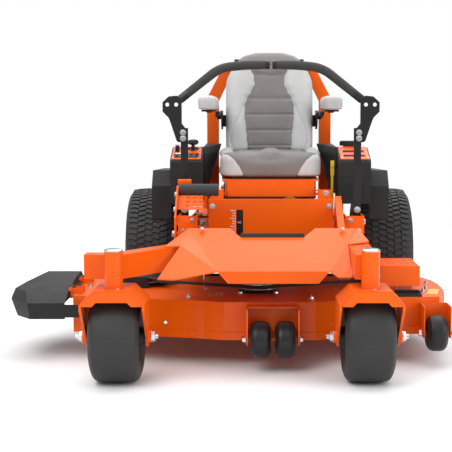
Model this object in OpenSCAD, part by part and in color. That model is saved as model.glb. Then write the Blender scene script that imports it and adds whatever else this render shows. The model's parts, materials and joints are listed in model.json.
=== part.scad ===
// Zero-turn riding lawn mower with a wide side-discharge deck.
// The driver faces -Y. Left and right are the driver's own, so the right side is at -X.
// The sub-parts are drawn about the rear axle: x = 0 on the centre line, y = 0 at the rear
// axle and z = 0 on the ground. in_place() then moves them to the middle of the footprint.

/* [Wheels] */
// Distance from the front wheel axles to the rear axle
wheelbase = 1250; // [1100:5:1400]
// Rear tyre diameter
rear_tyre_d = 558; // [480:1:600]
// Rear tyre width
rear_tyre_w = 240; // [200:1:260]
// Width over the outsides of the rear tyres
rear_track = 1224; // [1180:1:1300]
// Front tyre diameter
front_tyre_d = 304; // [280:1:320]
// Front tyre width
front_tyre_w = 168; // [140:1:176]
// Distance of a front axle behind its swivel
caster_trail = 70; // [55:1:80]

/* [Frame] */
// Width of a frame rail
rail_w = 76; // [60:1:80]
// Height of a frame rail
rail_h = 80; // [60:1:90]
// Wall of the rails
rail_wall = 5; // [3:0.5:8]
// Height of the rails' undersides above the ground
rail_z = 352; // [345:1:380]
// Distance from the centre line to the middle of a rail
rail_x = 302; // [290:1:310]
// Rails' rear ends, behind the rear axle
rail_rear = 400; // [380:1:500]
// Swivel of the left front wheel, from the centre line
left_swivel_x = 313; // [305:1:330]
// Swivel of the right front wheel, on its outrigger, from the centre line
right_swivel_x = 520; // [480:1:560]
// Outer diameter of a swivel tube
swivel_tube_d = 60; // [56:1:70]
// Height of a swivel tube
swivel_tube_h = 119; // [100:1:130]
// Diameter of a fork's stem
stem_d = 32; // [25:0.5:36]

/* [Cutting deck] */
// Height of the deck's lower edge above the ground
deck_z = 98; // [80:1:110]
// Height of the deck shell
deck_h = 134; // [120:1:140]
// Thickness of the deck's sheet steel
deck_t = 5; // [3:0.5:6]
// Blade length
blade_len = 456; // [380:1:458]
// Distance between neighbouring spindles, across the machine
spindle_pitch = 432; // [430:1:440]
// Distance of the outer spindles behind the middle one
spindle_stagger = 170; // [165:1:200]
// Middle spindle, in front of the rear axle
spindle_y = 805; // [790:1:815]
// Diameter of the anti-scalp rollers
roller_d = 127; // [100:1:130]
// Height of the rollers' axles above the ground
roller_z = 115; // [100:1:120]

/* [Foot area] */
// Front face of the seat box, in front of the rear axle
box_front = 640; // [620:1:650]
// Width of the seat box
box_w = 480; // [400:1:482]
// Height of the seat box's top
box_top = 560; // [540:1:570]
// Thickness of the body sheet
sheet_t = 3; // [2:0.5:4]

/* [Seat] */
// Width of the seat cushion
seat_w = 418; // [380:1:430]
// Length of the seat cushion
seat_len = 390; // [360:1:400]
// Height of the seat cushion's underside
seat_z = 636; // [636:1:645]
// Thickness of the seat cushion
seat_h = 104; // [80:1:105]
// Height of the top of the backrest
back_top = 1150; // [1100:1:1180]
// Width of the backrest
back_w = 388; // [340:1:396]
// Length of an armrest pad
arm_len = 300; // [240:1:310]
// Width of an armrest pad
arm_w = 80; // [60:1:84]

/* [Controls] */
// Distance from the centre line to a lever's stem
lever_x = 332; // [325:1:340]
// Diameter of the control bars
bar_d = 33; // [25:1:34]
// Gap between the two bars' ends
bar_gap = 10; // [6:1:30]
// Height of the bars' upper run
bar_z = 1073; // [1060:1:1090]

/* [Fits] */
// Radial clearance of a shaft that turns in a bore
run_gap = 0.05; // [0.02:0.01:0.1]
// Clearance between faces that pass each other
face_gap = 0.3; // [0.2:0.05:0.6]

/* [Hidden] */
$fn = 48;

orange = "#ff6a0d";
charcoal = "#3d3f40";
black = "#26272a";
steel = "#b4b7b9";
zinc = "#dfe1e2";
rubber = "#303234";
light_vinyl = "#cdcdcd";
grey_vinyl = "#8d8785";
yellow = "#ecdc26";

eps = 0.01;
side_left = 1;
side_right = -1;

// Wheels
rear_r = rear_tyre_d / 2;
rear_out = rear_track / 2;
rear_in = rear_out - rear_tyre_w;
front_r = front_tyre_d / 2;
swivel_y = -wheelbase - caster_trail;
rear_rim_r = 152;
front_rim_r = 80;
axle_r = 18;
front_axle_r = 12.7;

// Frame
rail_top = rail_z + rail_h;
rail_in = rail_x - rail_w / 2;
rail_out = rail_x + rail_w / 2;
swivel_r = swivel_tube_d / 2;
swivel_z = front_tyre_d + 24;
swivel_top = swivel_z + swivel_tube_h;
bearing_r = swivel_r - 4;
stem_r = stem_d / 2;
arm_face_y = swivel_y + swivel_r - 6;
arm_depth = 64;
arm_bend_x = -right_swivel_x + 23;
arm_end_x = -right_swivel_x - 100;
arm_slope = 1.348;

// Deck
deck_top = deck_z + deck_h;
deck_mid_x = -50;
deck_left = 645;
deck_right = -722;
deck_back = -390;
deck_front = [
  [deck_right, -905], [-640, -924], [-419, -980], [-240, -1024], [-170, -1050],
  [150, -1050], [260, -1018], [460, -950], [604, -930]
];
deck_outline = concat(deck_front, [
  [632, -870], [deck_left, -760], [deck_left, -640], [633, -540], [601, -450], [540, deck_back],
  [-600, deck_back], [deck_right, -480]
]);
lip_h = 27;
lip_t = 3;
front_wall_y = -1050;
spindles = [
  [deck_mid_x + spindle_pitch, -spindle_y + spindle_stagger],
  [deck_mid_x, -spindle_y],
  [deck_mid_x - spindle_pitch, -spindle_y + spindle_stagger]
];
spindle_r = 15;
pulley_r = 75;
pulley_z = deck_top + 14;
pulley_h = 22;
blade_z = deck_z + 26;
blade_w = 64;
blade_t = 6;
roller_r = roller_d / 2;
roller_bolt_r = 8;
pair_y = front_wall_y - roller_r - 6.5;
pair_in = 8;
pair_out = 78;
corner_in = 545;
corner_out = 618;
corner_y = -1012;

// Discharge chute, hinged beside the deck's right edge
hinge_x = deck_right - 15;
hinge_z = deck_top + 16;
hinge_r = 6;
barrel_ys = [-860, -620];
barrel_len = 40;
ear_t = 4;
chute_tip_x = -967;
chute_front = -955;
chute_back = -500;
chute_t = 5;

// Height linkage
lift_arm = 135;
lift_z = rail_z + 40;
lift_r = 10;
hanger_ys = [-735, -450];
lift_arm_x = box_w / 2 + 4;
link_x = lift_arm_x + 8 + face_gap;
pedal_pivot = [-900, 455];

// Levers
lever_y = -612;
lever_pivot_z = rail_top + 38;
swing_z = 520;
stem_bar_t = 12;
stem_top = 833;
bar_r = bar_d / 2;
head_t = 8;

// Seat
seat_front = -520;
seat_hinge = [-590, 578];
plate_z = seat_z - 6;
arm_z = 903;
arm_h = 55;
arm_front = -480;
arm_pivot = [-165, 880];
arm_in = 210;
hoop_w = 51;
hoop_d = 38;
hoop_top = 1095;

// Consoles
console_in = 270;
console_out = 396;
console_front = -520;
console_z = 533;
fender_out = 472;
cap_at = [330, -330];
hoop_in = console_in - hoop_w;

// Engine
engine_y = 226;
plate_t = 8;
guard_r = 16;
guard_back = 545;
guard_top = 610;
crank_r = 14;

// Hitch and accessory holes in the rear cross plate
hitch_r = 9.5;
hitch_y = rail_rear + 42;
accessory_hole_r = 5.5;
accessory_x = 120;
accessory_z = 20;

// Middle of the footprint
origin_x = (chute_tip_x + deck_left) / 2;
origin_y = (-wheelbase - front_r + guard_back + guard_r) / 2;

module in_place() {
  translate([-origin_x, -origin_y, 0]) children();
}

// A piece drawn for the left side, or its mirror for the right one.
module on_side(side) {
  if (side > 0) {
    children();
  } else {
    mirror([1, 0, 0]) children();
  }
}

// A box from its lowest corner to its highest one.
module block(low, high) {
  translate(low) cube(high - low);
}

module rod_x(r, x0, x1, y, z) {
  translate([x0, y, z]) rotate([0, 90, 0]) cylinder(r = r, h = x1 - x0);
}

module rod_y(r, y0, y1, x, z) {
  translate([x, y1, z]) rotate([90, 0, 0]) cylinder(r = r, h = y1 - y0);
}

module rod_z(r, z0, z1, x, y) {
  translate([x, y, z0]) cylinder(r = r, h = z1 - z0);
}

// A profile drawn in y and z, made solid from x0 to x1.
module along_x(x0, x1) {
  translate([x0, 0, 0]) rotate([90, 0, 90]) linear_extrude(x1 - x0) children();
}

// A profile drawn in x and z, made solid from y0 to y1.
module along_y(y0, y1) {
  translate([0, y1, 0]) rotate([90, 0, 0]) linear_extrude(y1 - y0) children();
}

// Sheet made of flat facets, t thick measured straight down. Facets run clockwise from above.
module folded_sheet(points, faces, t) {
  for (f = faces) {
    n = len(f);
    upper = [for (i = f) points[i]];
    lower = [for (p = upper) p - [0, 0, t]];
    polyhedron(
      points = concat(upper, lower),
      faces = concat(
        [[for (i = [0:n - 1]) i]],
        [[for (i = [0:n - 1]) 2 * n - 1 - i]],
        [for (i = [0:n - 1]) [(i + 1) % n, i, n + i, n + (i + 1) % n]]
      )
    );
  }
}

function unit(v) = v / norm(v);

// The points of one ring of a tube that runs along t at p. ref lies out of the path's plane.
function ring(p, t, ref, r, n) =
  let (u = unit(cross(t, ref)), v = cross(u, t))
  [for (i = [0:n - 1]) p + r * (cos(360 * i / n) * u + sin(360 * i / n) * v)];

// A path with each of its corners rounded to a quadratic curve, r back from the corner.
function rounded_path(path, r, steps = 6) = [
  for (i = [0:len(path) - 1])
    if (i == 0 || i == len(path) - 1) path[i]
    else
      let (
        a = path[i] + r * unit(path[i - 1] - path[i]),
        b = path[i] + r * unit(path[i + 1] - path[i])
      )
      for (k = [0:steps])
        let (s = k / steps)
        (1 - s) * (1 - s) * a + 2 * s * (1 - s) * path[i] + s * s * b
];

// A round bar along a path that lies in one plane.
module bent_bar(path, r, ref, sides = 20) {
  last = len(path) - 1;
  rings = [
    for (i = [0:last])
      let (t = unit(path[min(i + 1, last)] - path[max(i - 1, 0)]))
      ring(path[i], t, ref, r, sides)
  ];
  polyhedron(
    points = [for (one = rings, p = one) p],
    faces = concat(
      [[for (j = [0:sides - 1]) sides - 1 - j]],
      [[for (j = [0:sides - 1]) last * sides + j]],
      [
        for (i = [0:last - 1], j = [0:sides - 1])
          let (a = i * sides, b = a + sides, k = (j + 1) % sides)
          each [[a + j, b + k, b + j], [a + j, a + k, b + k]]
      ]
    )
  );
}

// A rounded block for padding, with edges of radius r.
module padded_block(low, high, r) {
  h = high[2] - low[2];
  hull() {
    for (x = [low[0] + r, high[0] - r], y = [low[1] + r, high[1] - r]) {
      translate([x, y, low[2]]) rotate_extrude($fn = 24) polygon(concat(
        [[0, 0]],
        [for (a = [0:15:90]) [r * sin(a), r - r * cos(a)]],
        [for (a = [0:15:90]) [r * cos(a), h - r + r * sin(a)]],
        [[0, h]]
      ));
    }
  }
}

// Tyre section, x across and y out from the axle, with a flat tread and rounded shoulders.
module tyre_section(r_out, r_in, w, tread) {
  bulge = (w - tread) / 2;
  wall = r_out - r_in;
  crown = [
    for (a = [0:10:90]) [tread / 2 + bulge * sin(a), r_out - 0.55 * wall * (1 - cos(a))]
  ];
  bead = [
    for (a = [20:10:90]) [w / 2 - 0.3 * bulge * (1 - cos(a)) - 4 * sin(a), r_out - 0.55 * wall - 0.45 * wall * sin(a)]
  ];
  half = concat([[0, r_out]], crown, bead, [[w / 2 - 26, r_in]]);
  polygon(concat(
    half,
    [[w / 2 - 40, r_in + 12], [0, r_in + 26], [-w / 2 + 40, r_in + 12]],
    [for (i = [len(half) - 1:-1:1]) [-half[i][0], half[i][1]]]
  ));
}

// A body turned about the X axis, from its section.
module turned_x() {
  rotate([0, -90, 0]) rotate_extrude($fn = 96) rotate([0, 0, -90]) children();
}

module swivel_bore(x) {
  rod_z(bearing_r, swivel_z - 1, swivel_top + 1, x, swivel_y);
}

// Frame
module left_rail() {
  x0 = rail_in;
  color(orange) in_place() difference() {
    union() {
      block([x0, swivel_y + 20, rail_z], [x0 + rail_w, rail_rear, rail_top]);
      rod_z(swivel_r, swivel_z, swivel_top, left_swivel_x, swivel_y);
    }
    block(
      [x0 + rail_wall, swivel_y + 40, rail_z + rail_wall],
      [x0 + rail_w - rail_wall, rail_rear - rail_wall, rail_top - rail_wall]
    );
    swivel_bore(left_swivel_x);
    shaft_bores();
  }
}

// Bores of the two lift shafts, through the rails' inner walls.
module shaft_bores() {
  for (y = hanger_ys) {
    rod_x(lift_r + run_gap, -rail_in - rail_wall - 1, rail_in + rail_wall + 1, y + lift_arm, lift_z);
  }
}

module right_rail_plan() {
  rear_y = arm_face_y + arm_depth;
  dx = arm_depth / sqrt(1 + arm_slope * arm_slope);
  polygon([
    [arm_end_x, arm_face_y],
    [arm_bend_x, arm_face_y],
    [-rail_in, arm_face_y + (-rail_in - arm_bend_x) * arm_slope],
    [-rail_in, rail_rear],
    [-rail_out, rail_rear],
    [-rail_out, arm_face_y + (-rail_out - arm_bend_x) * arm_slope + dx * (arm_slope * arm_slope + 1)],
    [arm_bend_x - (dx * (arm_slope * arm_slope + 1) - arm_depth) / arm_slope, rear_y],
    [arm_end_x, rear_y]
  ]);
}

module right_rail() {
  color(orange) in_place() difference() {
    union() {
      translate([0, 0, rail_z]) linear_extrude(rail_h) right_rail_plan();
      rod_z(swivel_r, swivel_z, swivel_top, -right_swivel_x, swivel_y);
    }
    translate([0, 0, rail_z + rail_wall]) linear_extrude(rail_h - 2 * rail_wall) {
      offset(delta = -rail_wall) right_rail_plan();
    }
    swivel_bore(-right_swivel_x);
    shaft_bores();
  }
}

// Tubes and plates between the rails, with the posts that carry the foot plate.
module cross_members() {
  tube_h = 50;
  color(orange) in_place() {
    difference() {
      block([-rail_in, -970, rail_z], [rail_in, -910, rail_z + tube_h]);
      block([-rail_in - 1, -966, rail_z + 4], [rail_in + 1, -914, rail_z + tube_h - 4]);
    }
    for (x = [-200, 176]) {
      block([x, -944, rail_z + tube_h], [x + 24, -934, 469.8]);
    }
    difference() {
      block([-rail_in, -560, rail_z], [rail_in, -510, rail_z + tube_h]);
      block([-rail_in - 1, -556, rail_z + 4], [rail_in + 1, -514, rail_z + tube_h - 4]);
    }
    block([-rail_out, pedal_pivot[0] - 14, rail_top], [-rail_out + 6, pedal_pivot[0] + 14, pedal_pivot[1] + 14]);
    rod_x(9, -rail_out - 16, -rail_out, pedal_pivot[0], pedal_pivot[1]);
    rod_x(14, -rail_out - 16, -rail_out - 12.3, pedal_pivot[0], pedal_pivot[1]);
    difference() {
      block([-rail_in, 60, rail_top - plate_t], [rail_in, rail_rear - plate_t, rail_top]);
      rod_z(52, rail_top - plate_t - 1, rail_top + 1, 0, engine_y);
    }
    difference() {
      union() {
        block([-rail_in, rail_rear - plate_t, rail_z], [rail_in, rail_rear, rail_top]);
        block([-55, rail_rear, rail_z], [55, hitch_y + 28, rail_z + plate_t]);
      }
      rod_z(hitch_r, rail_z - 1, rail_z + plate_t + 1, 0, hitch_y);
      for (x = [-accessory_x, accessory_x], z = [-accessory_z, accessory_z]) {
        rod_y(accessory_hole_r, rail_rear - plate_t - 1, rail_rear + 1, x, rail_z + rail_h / 2 + z);
      }
    }
  }
}

// Two bearing rings in each swivel tube, and the bright cap on its top.
module caster_bearings() {
  color(zinc) in_place() for (x = [left_swivel_x, -right_swivel_x]) translate([x, swivel_y, 0]) {
    difference() {
      union() {
        cylinder_between(bearing_r - run_gap, swivel_z, swivel_z + 20);
        cylinder_between(swivel_r - 2, swivel_z - 1.7, swivel_z);
      }
      cylinder_between(stem_r + run_gap, swivel_z - 3, swivel_z + 21);
    }
    difference() {
      cylinder_between(bearing_r - run_gap, swivel_top - 22, swivel_top);
      cylinder_between(stem_r + run_gap, swivel_top - 23, swivel_top + 1);
    }
    translate([0, 0, swivel_top]) rotate_extrude() polygon([
      [0, 0], [swivel_r + 0.5, 0], [swivel_r + 0.5, 4], [swivel_r - 3, 7], [swivel_r - 12, 9], [0, 10]
    ]);
  }
}

module cylinder_between(r, z0, z1) {
  translate([0, 0, z0]) cylinder(r = r, h = z1 - z0);
}

// Sloped toe plate with a folded lower lip and two wings that reach over the rails.
module foot_plate() {
  notch_z = 480 - 60 * 115 / 280;
  points = [
    [-301, -930, 480], [-150, -930, 480], [-114, -990, notch_z], [114, -990, notch_z],
    [154, -930, 480], [306, -930, 480], [189, -1210, 365], [-189, -1210, 365],
    [340, -1000, 442], [262, -1052, 437], [262, -1230, 349], [217, -1230, 349],
    [-370, -1112, 437], [-318, -1086, 437], [-386, -1230, 343], [-331, -1230, 341]
  ];
  color(orange) in_place() {
    folded_sheet(points, [
      [0, 1, 2, 7], [2, 3, 6, 7], [3, 4, 5, 6],
      [5, 8, 9], [5, 9, 6], [6, 9, 11], [9, 10, 11],
      [0, 7, 13], [0, 13, 12], [7, 15, 13], [15, 14, 13]
    ], 4);
    along_y(-1214, -1210) polygon([[-189, 365], [189, 365], [152, 324], [-152, 324]]);
  }
}

// Rubber mat in the foot well, and the trim strip behind the toe plate's notch.
module floor_mat() {
  color(rubber) in_place() {
    block([-190, -900, 411], [190, -box_front - 5, 416]);
    block([-112, -989.7, 446], [112, -984, 469]);
  }
}

// Box under the seat, with the foot well's floor, rail flanges and the seat's hinge ears.
module seat_box() {
  half = box_w / 2;
  floor_z = 408;
  back = -130;
  color(orange) in_place() difference() {
    union() {
      block([-half, -930, floor_z], [half, back, floor_z + sheet_t]);
      block([-half, -box_front, floor_z], [half, -box_front + sheet_t, box_top]);
      for (side = [side_left, side_right]) on_side(side) {
        block([half - sheet_t, -box_front, floor_z], [half, back, box_top]);
        block([half - sheet_t, -box_front, rail_top], [rail_x + 20, -box_front + 400, rail_top + sheet_t]);
        block([half - 30, -box_front, box_top - sheet_t], [half, back, box_top]);
        block([292, -420, rail_top + sheet_t], [296, -360, console_z]);
        block([183, -614, box_top - sheet_t], [187, -570, box_top + 40]);
        block([183, -614, box_top - sheet_t], [230, -611, box_top + 36]);
      }
      block([-half, -box_front, box_top - sheet_t], [half, -box_front + 32, box_top]);
      block([-half, back - 30, box_top - sheet_t], [half, back, box_top]);
    }
    block([-133, -box_front - 1, 420], [-107, -box_front + sheet_t + 1, 520]);
    rod_x(5 + run_gap, -190, 190, seat_hinge[0], seat_hinge[1]);
  }
}

// Open boxes on the rails that carry the levers, and the slanted brace at the left one.
module lever_mounts() {
  x0 = lever_x - 51;
  x1 = lever_x + 21;
  color(orange) in_place() for (side = [side_left, side_right]) on_side(side) difference() {
    union() {
      block([x0, -700, rail_top], [x1, -696, rail_top + 70]);
      block([x0, -700, rail_top], [x0 + 4, -645, rail_top + 70]);
      block([x0, -645, rail_top + sheet_t], [x0 + 4, -570, rail_top + 70]);
      block([x1 - 4, -700, rail_top + sheet_t], [x1, -570, rail_top + 70]);
      block([x0, -700, rail_top], [x1, -645, rail_top + 4]);
    }
    rod_x(12 + run_gap, x0 - 1, x1 + 1, lever_y, lever_pivot_z);
  }
  color(orange) in_place() along_x(246, 272) {
    polygon([[-600, 570], [-600, 540], [-820, rail_top], [-850, rail_top], [-850, 446]]);
    polygon([[-612, rail_top + sheet_t], [-600, rail_top + sheet_t], [-600, 560], [-612, 560]]);
  }
}

// Side profile of a console body, y and z.
module console_profile() {
  polygon([
    [console_front, console_z], [-330, console_z], [-262, 590], [110, 590], [120, 600], [120, 724],
    [106, 738], [-370, 750], [console_front + 8, 706], [console_front, 698]
  ]);
}

// Moulded fuel tank on the left, with a filler neck and an inner wing towards the seat.
module fuel_tank() {
  color(charcoal) in_place() {
    difference() {
      union() {
        along_x(console_in, console_out) console_profile();
        rod_z(30, 740, 756, cap_at[0], cap_at[1]);
      }
      along_x(console_in + 4, console_out - 4) polygon([
        [console_front + 6, console_z + 4], [-334, console_z + 4], [-266, 594], [112, 594], [112, 722],
        [-370, 740], [console_front + 6, 698]
      ]);
      rod_z(24, 730, 757, cap_at[0], cap_at[1]);
    }
    console_wing();
  }
}

module console_wing() {
  hull() {
    block([console_in - 4, -400, 640], [console_in, -60, 752]);
    block([console_in - 4, -330, 560], [console_in, -60, 752]);
    block([207, -110, 752], [console_in, -60, 757]);
  }
}

// Console on the right, closed all round, with a well for the blade switch.
module control_console() {
  color(charcoal) in_place() mirror([1, 0, 0]) {
    difference() {
      along_x(console_in, console_out) console_profile();
      along_x(console_in + 4, console_out - 4) polygon([
        [console_front + 6, console_z + 4], [-334, console_z + 4], [-266, 594], [112, 594], [112, 722],
        [-370, 740], [console_front + 6, 698]
      ]);
      rod_z(7 + run_gap, 700, 760, 311, -400);
    }
    console_wing();
  }
}

// Mudguards outside the consoles, hollowed concentric with the rear tyres.
module fenders() {
  color(charcoal) in_place() for (side = [side_left, side_right]) on_side(side) {
    difference() {
      along_x(console_out + 0.3, fender_out) polygon([
        [-478, 470], [-470, 463], [-402, 463], [-250, 580], [210, 520], [216, 530], [180, 610], [130, 640],
        [-420, 660], [-478, 600]
      ]);
      rod_x(rear_r + 22, console_out - 1, fender_out + 1, 0, rear_r);
      along_x(console_out - 1, fender_out - 5) polygon([
        [-472, 466], [-396, 450], [-240, 570], [205, 515], [174, 606], [128, 634], [-417, 653], [-472, 597]
      ]);
    }
    block([console_out + 0.3, -410, 606], [console_out + 6, -100, 646]);
  }
}

// Orange covers on the sloped fronts of the two consoles.
module console_panels() {
  x0 = console_in + 6;
  x1 = console_out - 6;
  color(orange) in_place() for (side = [side_left, side_right]) on_side(side) difference() {
    along_x(x0, x1) polygon([
      [console_front + 8, 706.4], [-370, 750.4], [-371, 754.4], [console_front + 6, 710.8]
    ]);
    if (side > 0) {
      for (y = [-492, -442]) {
        along_x(x0 + 14, x1 - 14) translate([y, 700]) square([26, 60]);
      }
    } else {
      rod_z(24, 690, 770, 311, -400);
    }
  }
}

// Hoop behind the seat, on foot plates on the rails.
module seat_hoop() {
  out = hoop_in + hoop_w;
  color(orange) in_place() {
    along_y(-hoop_d / 2, hoop_d / 2) difference() {
      polygon([
        [-out, rail_top + 8], [-out, 954], [-196, hoop_top], [196, hoop_top], [out, 954],
        [out, rail_top + 8]
      ]);
      polygon([
        [-hoop_in, rail_top + 7], [-hoop_in, 940], [-168, 1044], [168, 1044], [hoop_in, 940],
        [hoop_in, rail_top + 7]
      ]);
    }
    for (side = [side_left, side_right]) on_side(side) {
      block([hoop_in, -45, rail_top], [rail_out, 45, rail_top + 8]);
    }
  }
}

// Twin-cylinder engine behind the seat, with finned barrels.
module engine_block() {
  color(steel) in_place() difference() {
    union() {
      block([-130, 90, rail_top], [130, 360, 600]);
      rod_z(118, 600, 640, 0, engine_y);
      for (side = [side_left, side_right]) on_side(side) {
        rod_x(48, 130, 178, 150, 530);
        for (i = [0:4]) {
          rod_x(62, 134 + i * 9, 138 + i * 9, 150, 530);
        }
        block([178, 100, 482], [200, 200, 578]);
      }
    }
    rod_z(crank_r + run_gap, rail_top - 1, 700, 0, engine_y);
  }
}

module engine_shroud() {
  color(black) in_place() translate([0, engine_y, 640]) rotate_extrude() polygon([
    [crank_r + run_gap, 0], [150, 0], [160, 10], [160, 80], [140, 108], [96, 116], [96, 112],
    [136, 104], [155, 78], [155, 12], [148, 5], [crank_r + run_gap, 5]
  ]);
}

// Crankshaft with the cooling fan and screen on top and the drive pulley below.
module engine_fan() {
  color(black) in_place() translate([0, engine_y, 0]) {
    cylinder_between(crank_r, 380, 752);
    difference() {
      union() {
        cylinder_between(94, 752, 757);
        cylinder_between(30, 757, 764);
        cylinder_between(90, 700, 705);
      }
      for (i = [0:11]) rotate([0, 0, i * 30]) translate([62, 0, 750]) cylinder(r = 12, h = 10);
      cylinder_between(crank_r - 1, 690, 751);
    }
    translate([0, 0, 384]) rotate_extrude() polygon([
      [crank_r - 1, 0], [62, 0], [62, 4], [46, 10], [62, 16], [62, 20], [crank_r - 1, 20]
    ]);
  }
}

module muffler() {
  color(steel) in_place() {
    rod_x(52, -150, 150, 418, 528);
    for (x = [-100, 100]) {
      rod_y(17, 360, 380, x, 528);
    }
    rod_x(15, 150, 196, 430, 520);
  }
}

// The two drive units, each with a casting under a rail and an axle tube.
module hydro_drives() {
  color(charcoal) in_place() for (side = [side_left, side_right]) on_side(side) difference() {
    union() {
      block([112, -85, rear_r - 74], [232, 80, rear_r + 62]);
      rod_x(38, 232, 346, 0, rear_r);
      block([rail_in, -48, rear_r], [rail_out, 48, rail_z]);
      rod_z(24, rear_r + 62, rear_r + 84, 172, -20);
      rod_z(58, rear_r + 84, rear_r + 104, 172, -20);
      rod_y(44, -118, -85, 172, rear_r - 6);
    }
    rod_x(axle_r + run_gap, 190, 400, 0, rear_r);
  }
}

// Bent tube round the back of the engine.
module engine_guard() {
  color(orange) in_place() {
    for (side = [side_left, side_right]) on_side(side) {
      rod_y(guard_r, rail_rear, guard_back, rail_x, rail_z + 40);
      translate([rail_x, guard_back, rail_z + 40]) sphere(r = guard_r + 0.5);
      rod_z(guard_r, rail_z + 40, guard_top, rail_x, guard_back);
      translate([rail_x, guard_back, guard_top]) sphere(r = guard_r + 0.5);
    }
    rod_x(guard_r, -rail_x, rail_x, guard_back, guard_top);
  }
}

// Bright bolts through the rails and the hoop's feet.
module frame_bolts() {
  color(zinc) in_place() {
    for (side = [side_left, side_right]) on_side(side) {
      for (y = [-30, 30]) {
        rod_z(7, rail_top + 8, rail_top + 15, 300, y);
        rod_z(7, rail_top + sheet_t, rail_top + 10, 275, y - 350);
      }
      for (y = [120, 330]) {
        rod_z(7, rail_top, rail_top + 8, 230, y);
      }
    }
    for (x = [-188, 188]) {
      rod_z(6, 411, 418, x < 0 ? x - 20 : x + 20, -700);
    }
  }
}

// Dipstick tube beside the seat box with its yellow pull.
module oil_dipstick() {
  x = rail_in - 14.4;
  y = -430;
  color(yellow) in_place() {
    rod_z(6, rail_top + sheet_t, 640, x, y);
    block([x - 7, y - 6, 640], [x + 7, y + 6, 700]);
    block([x - 7, y - 15, 676], [x + 7, y + 15, 690]);
  }
}

// Cutting deck
module deck_plan() {
  polygon(deck_outline);
}

function wall_y(x) = lookup(x, deck_front);

module deck_shell() {
  color(orange) in_place() difference() {
    union() {
      translate([0, 0, deck_z]) linear_extrude(deck_h) deck_plan();
      translate([0, 0, deck_z]) linear_extrude(lip_h) intersection() {
        offset(delta = lip_t) deck_plan();
        translate([deck_right, front_wall_y - 20]) square([deck_left - deck_right, 150]);
      }
    }
    translate([0, 0, deck_z - 1]) linear_extrude(deck_h - deck_t + 1) offset(delta = -deck_t) deck_plan();
    for (s = spindles) {
      rod_z(34, deck_top - deck_t - 1, deck_top + 1, s[0], s[1]);
    }
    block([deck_right - 10, -870, deck_z - 1], [deck_right + 30, -520, deck_top - 20]);
  }
  color(orange) in_place() {
    for (y = barrel_ys) {
      for (ear = [y - face_gap - ear_t, y + barrel_len + face_gap]) {
        rod_y(hinge_r + 3, ear, ear + ear_t, hinge_x, hinge_z);
        block([hinge_x, ear, deck_top - 12], [deck_right, ear + ear_t, hinge_z + 5]);
        block([hinge_x, ear, deck_top], [deck_right + 30, ear + ear_t, hinge_z + 5]);
      }
      rod_y(hinge_r, y - 12, y + barrel_len + 12, hinge_x, hinge_z);
    }
  }
}

// Bearing housings of the three blade spindles, bolted to the deck's top.
module spindle_housings() {
  color(black) in_place() for (s = spindles) translate([s[0], s[1], 0]) difference() {
    union() {
      cylinder_between(33.5, deck_top - 60, deck_top + 10);
      cylinder_between(72, deck_top, deck_top + 6);
      for (a = [45:90:315]) rotate([0, 0, a]) translate([60, 0, 0]) {
        cylinder_between(6, deck_top + 6, deck_top + 11);
      }
    }
    cylinder_between(spindle_r + run_gap, deck_top - 61, deck_top + 11);
  }
}

// Spindle shaft with its belt pulley and its blade.
module blade_spindle(at, turn) {
  color(steel) in_place() translate([at[0], at[1], 0]) {
    cylinder_between(spindle_r, blade_z + blade_t + 6, pulley_z + pulley_h + 10);
    difference() {
      translate([0, 0, pulley_z]) rotate_extrude() polygon([
        [spindle_r, 0], [pulley_r, 0], [pulley_r, 4], [pulley_r - 15, 6], [pulley_r - 15, 16],
        [pulley_r, 18], [pulley_r, pulley_h], [spindle_r, pulley_h]
      ]);
      for (a = [0:60:300]) rotate([0, 0, a]) translate([38, 0, pulley_z - 1]) cylinder(r = 11, h = pulley_h + 2);
    }
    cylinder_between(28, blade_z + blade_t, blade_z + blade_t + 6);
    translate([0, 0, blade_z]) rotate([0, 0, turn]) {
      translate([0, 0, blade_t / 2]) cube([blade_len - 2, blade_w, blade_t], center = true);
      for (end = [0, 180]) rotate([0, 0, end]) {
        translate([blade_len / 2 - 90, blade_w / 2 - 3, blade_t - eps]) cube([80, 3, 12]);
      }
    }
    translate([0, 0, blade_z - 12]) cylinder(r = 16, h = 12, $fn = 6);
  }
}

module blade_spindle_left() {
  blade_spindle(spindles[0], 0);
}

module blade_spindle_middle() {
  blade_spindle(spindles[1], 0);
}

module blade_spindle_right() {
  blade_spindle(spindles[2], 0);
}

// Belt loop that lies in the grooves of the three spindle pulleys.
module belt_loop(r) {
  hull() {
    for (s = spindles) {
      translate(s) circle(r = r);
    }
  }
}

module deck_belt() {
  color(rubber) in_place() translate([0, 0, pulley_z + 6 + face_gap]) linear_extrude(10 - 2 * face_gap) difference() {
    belt_loop(pulley_r - 2);
    belt_loop(pulley_r - 15 + face_gap);
  }
}

// Roller brackets on the deck's front wall, with the bolts that the rollers turn on.
module roller_brackets() {
  back_y = wall_y(corner_in - 12) - lip_t - face_gap;
  color(orange) in_place() {
    for (side = [side_left, side_right]) on_side(side) {
      block([86, pair_y - 26, roller_z - 16], [91, front_wall_y - lip_t, roller_z + 106]);
      block([86, front_wall_y - lip_t - 1, deck_z + lip_h + 1], [91, front_wall_y, roller_z + 106]);
    }
    block([-91, front_wall_y - 34, roller_z + 102], [91, front_wall_y, roller_z + 106]);
    rod_x(roller_bolt_r, -104, 104, pair_y, roller_z);
    for (x = [corner_in - 12, corner_out + 8]) {
      block([x, corner_y - 26, roller_z - 14], [x + 4, back_y, roller_z + 98]);
    }
    block([corner_in - 12, back_y - 4, roller_z + 20], [corner_out + 12, back_y, roller_z + 98]);
    rod_x(roller_bolt_r, corner_in - 22, corner_out + 22, corner_y, roller_z);
  }
}

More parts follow.
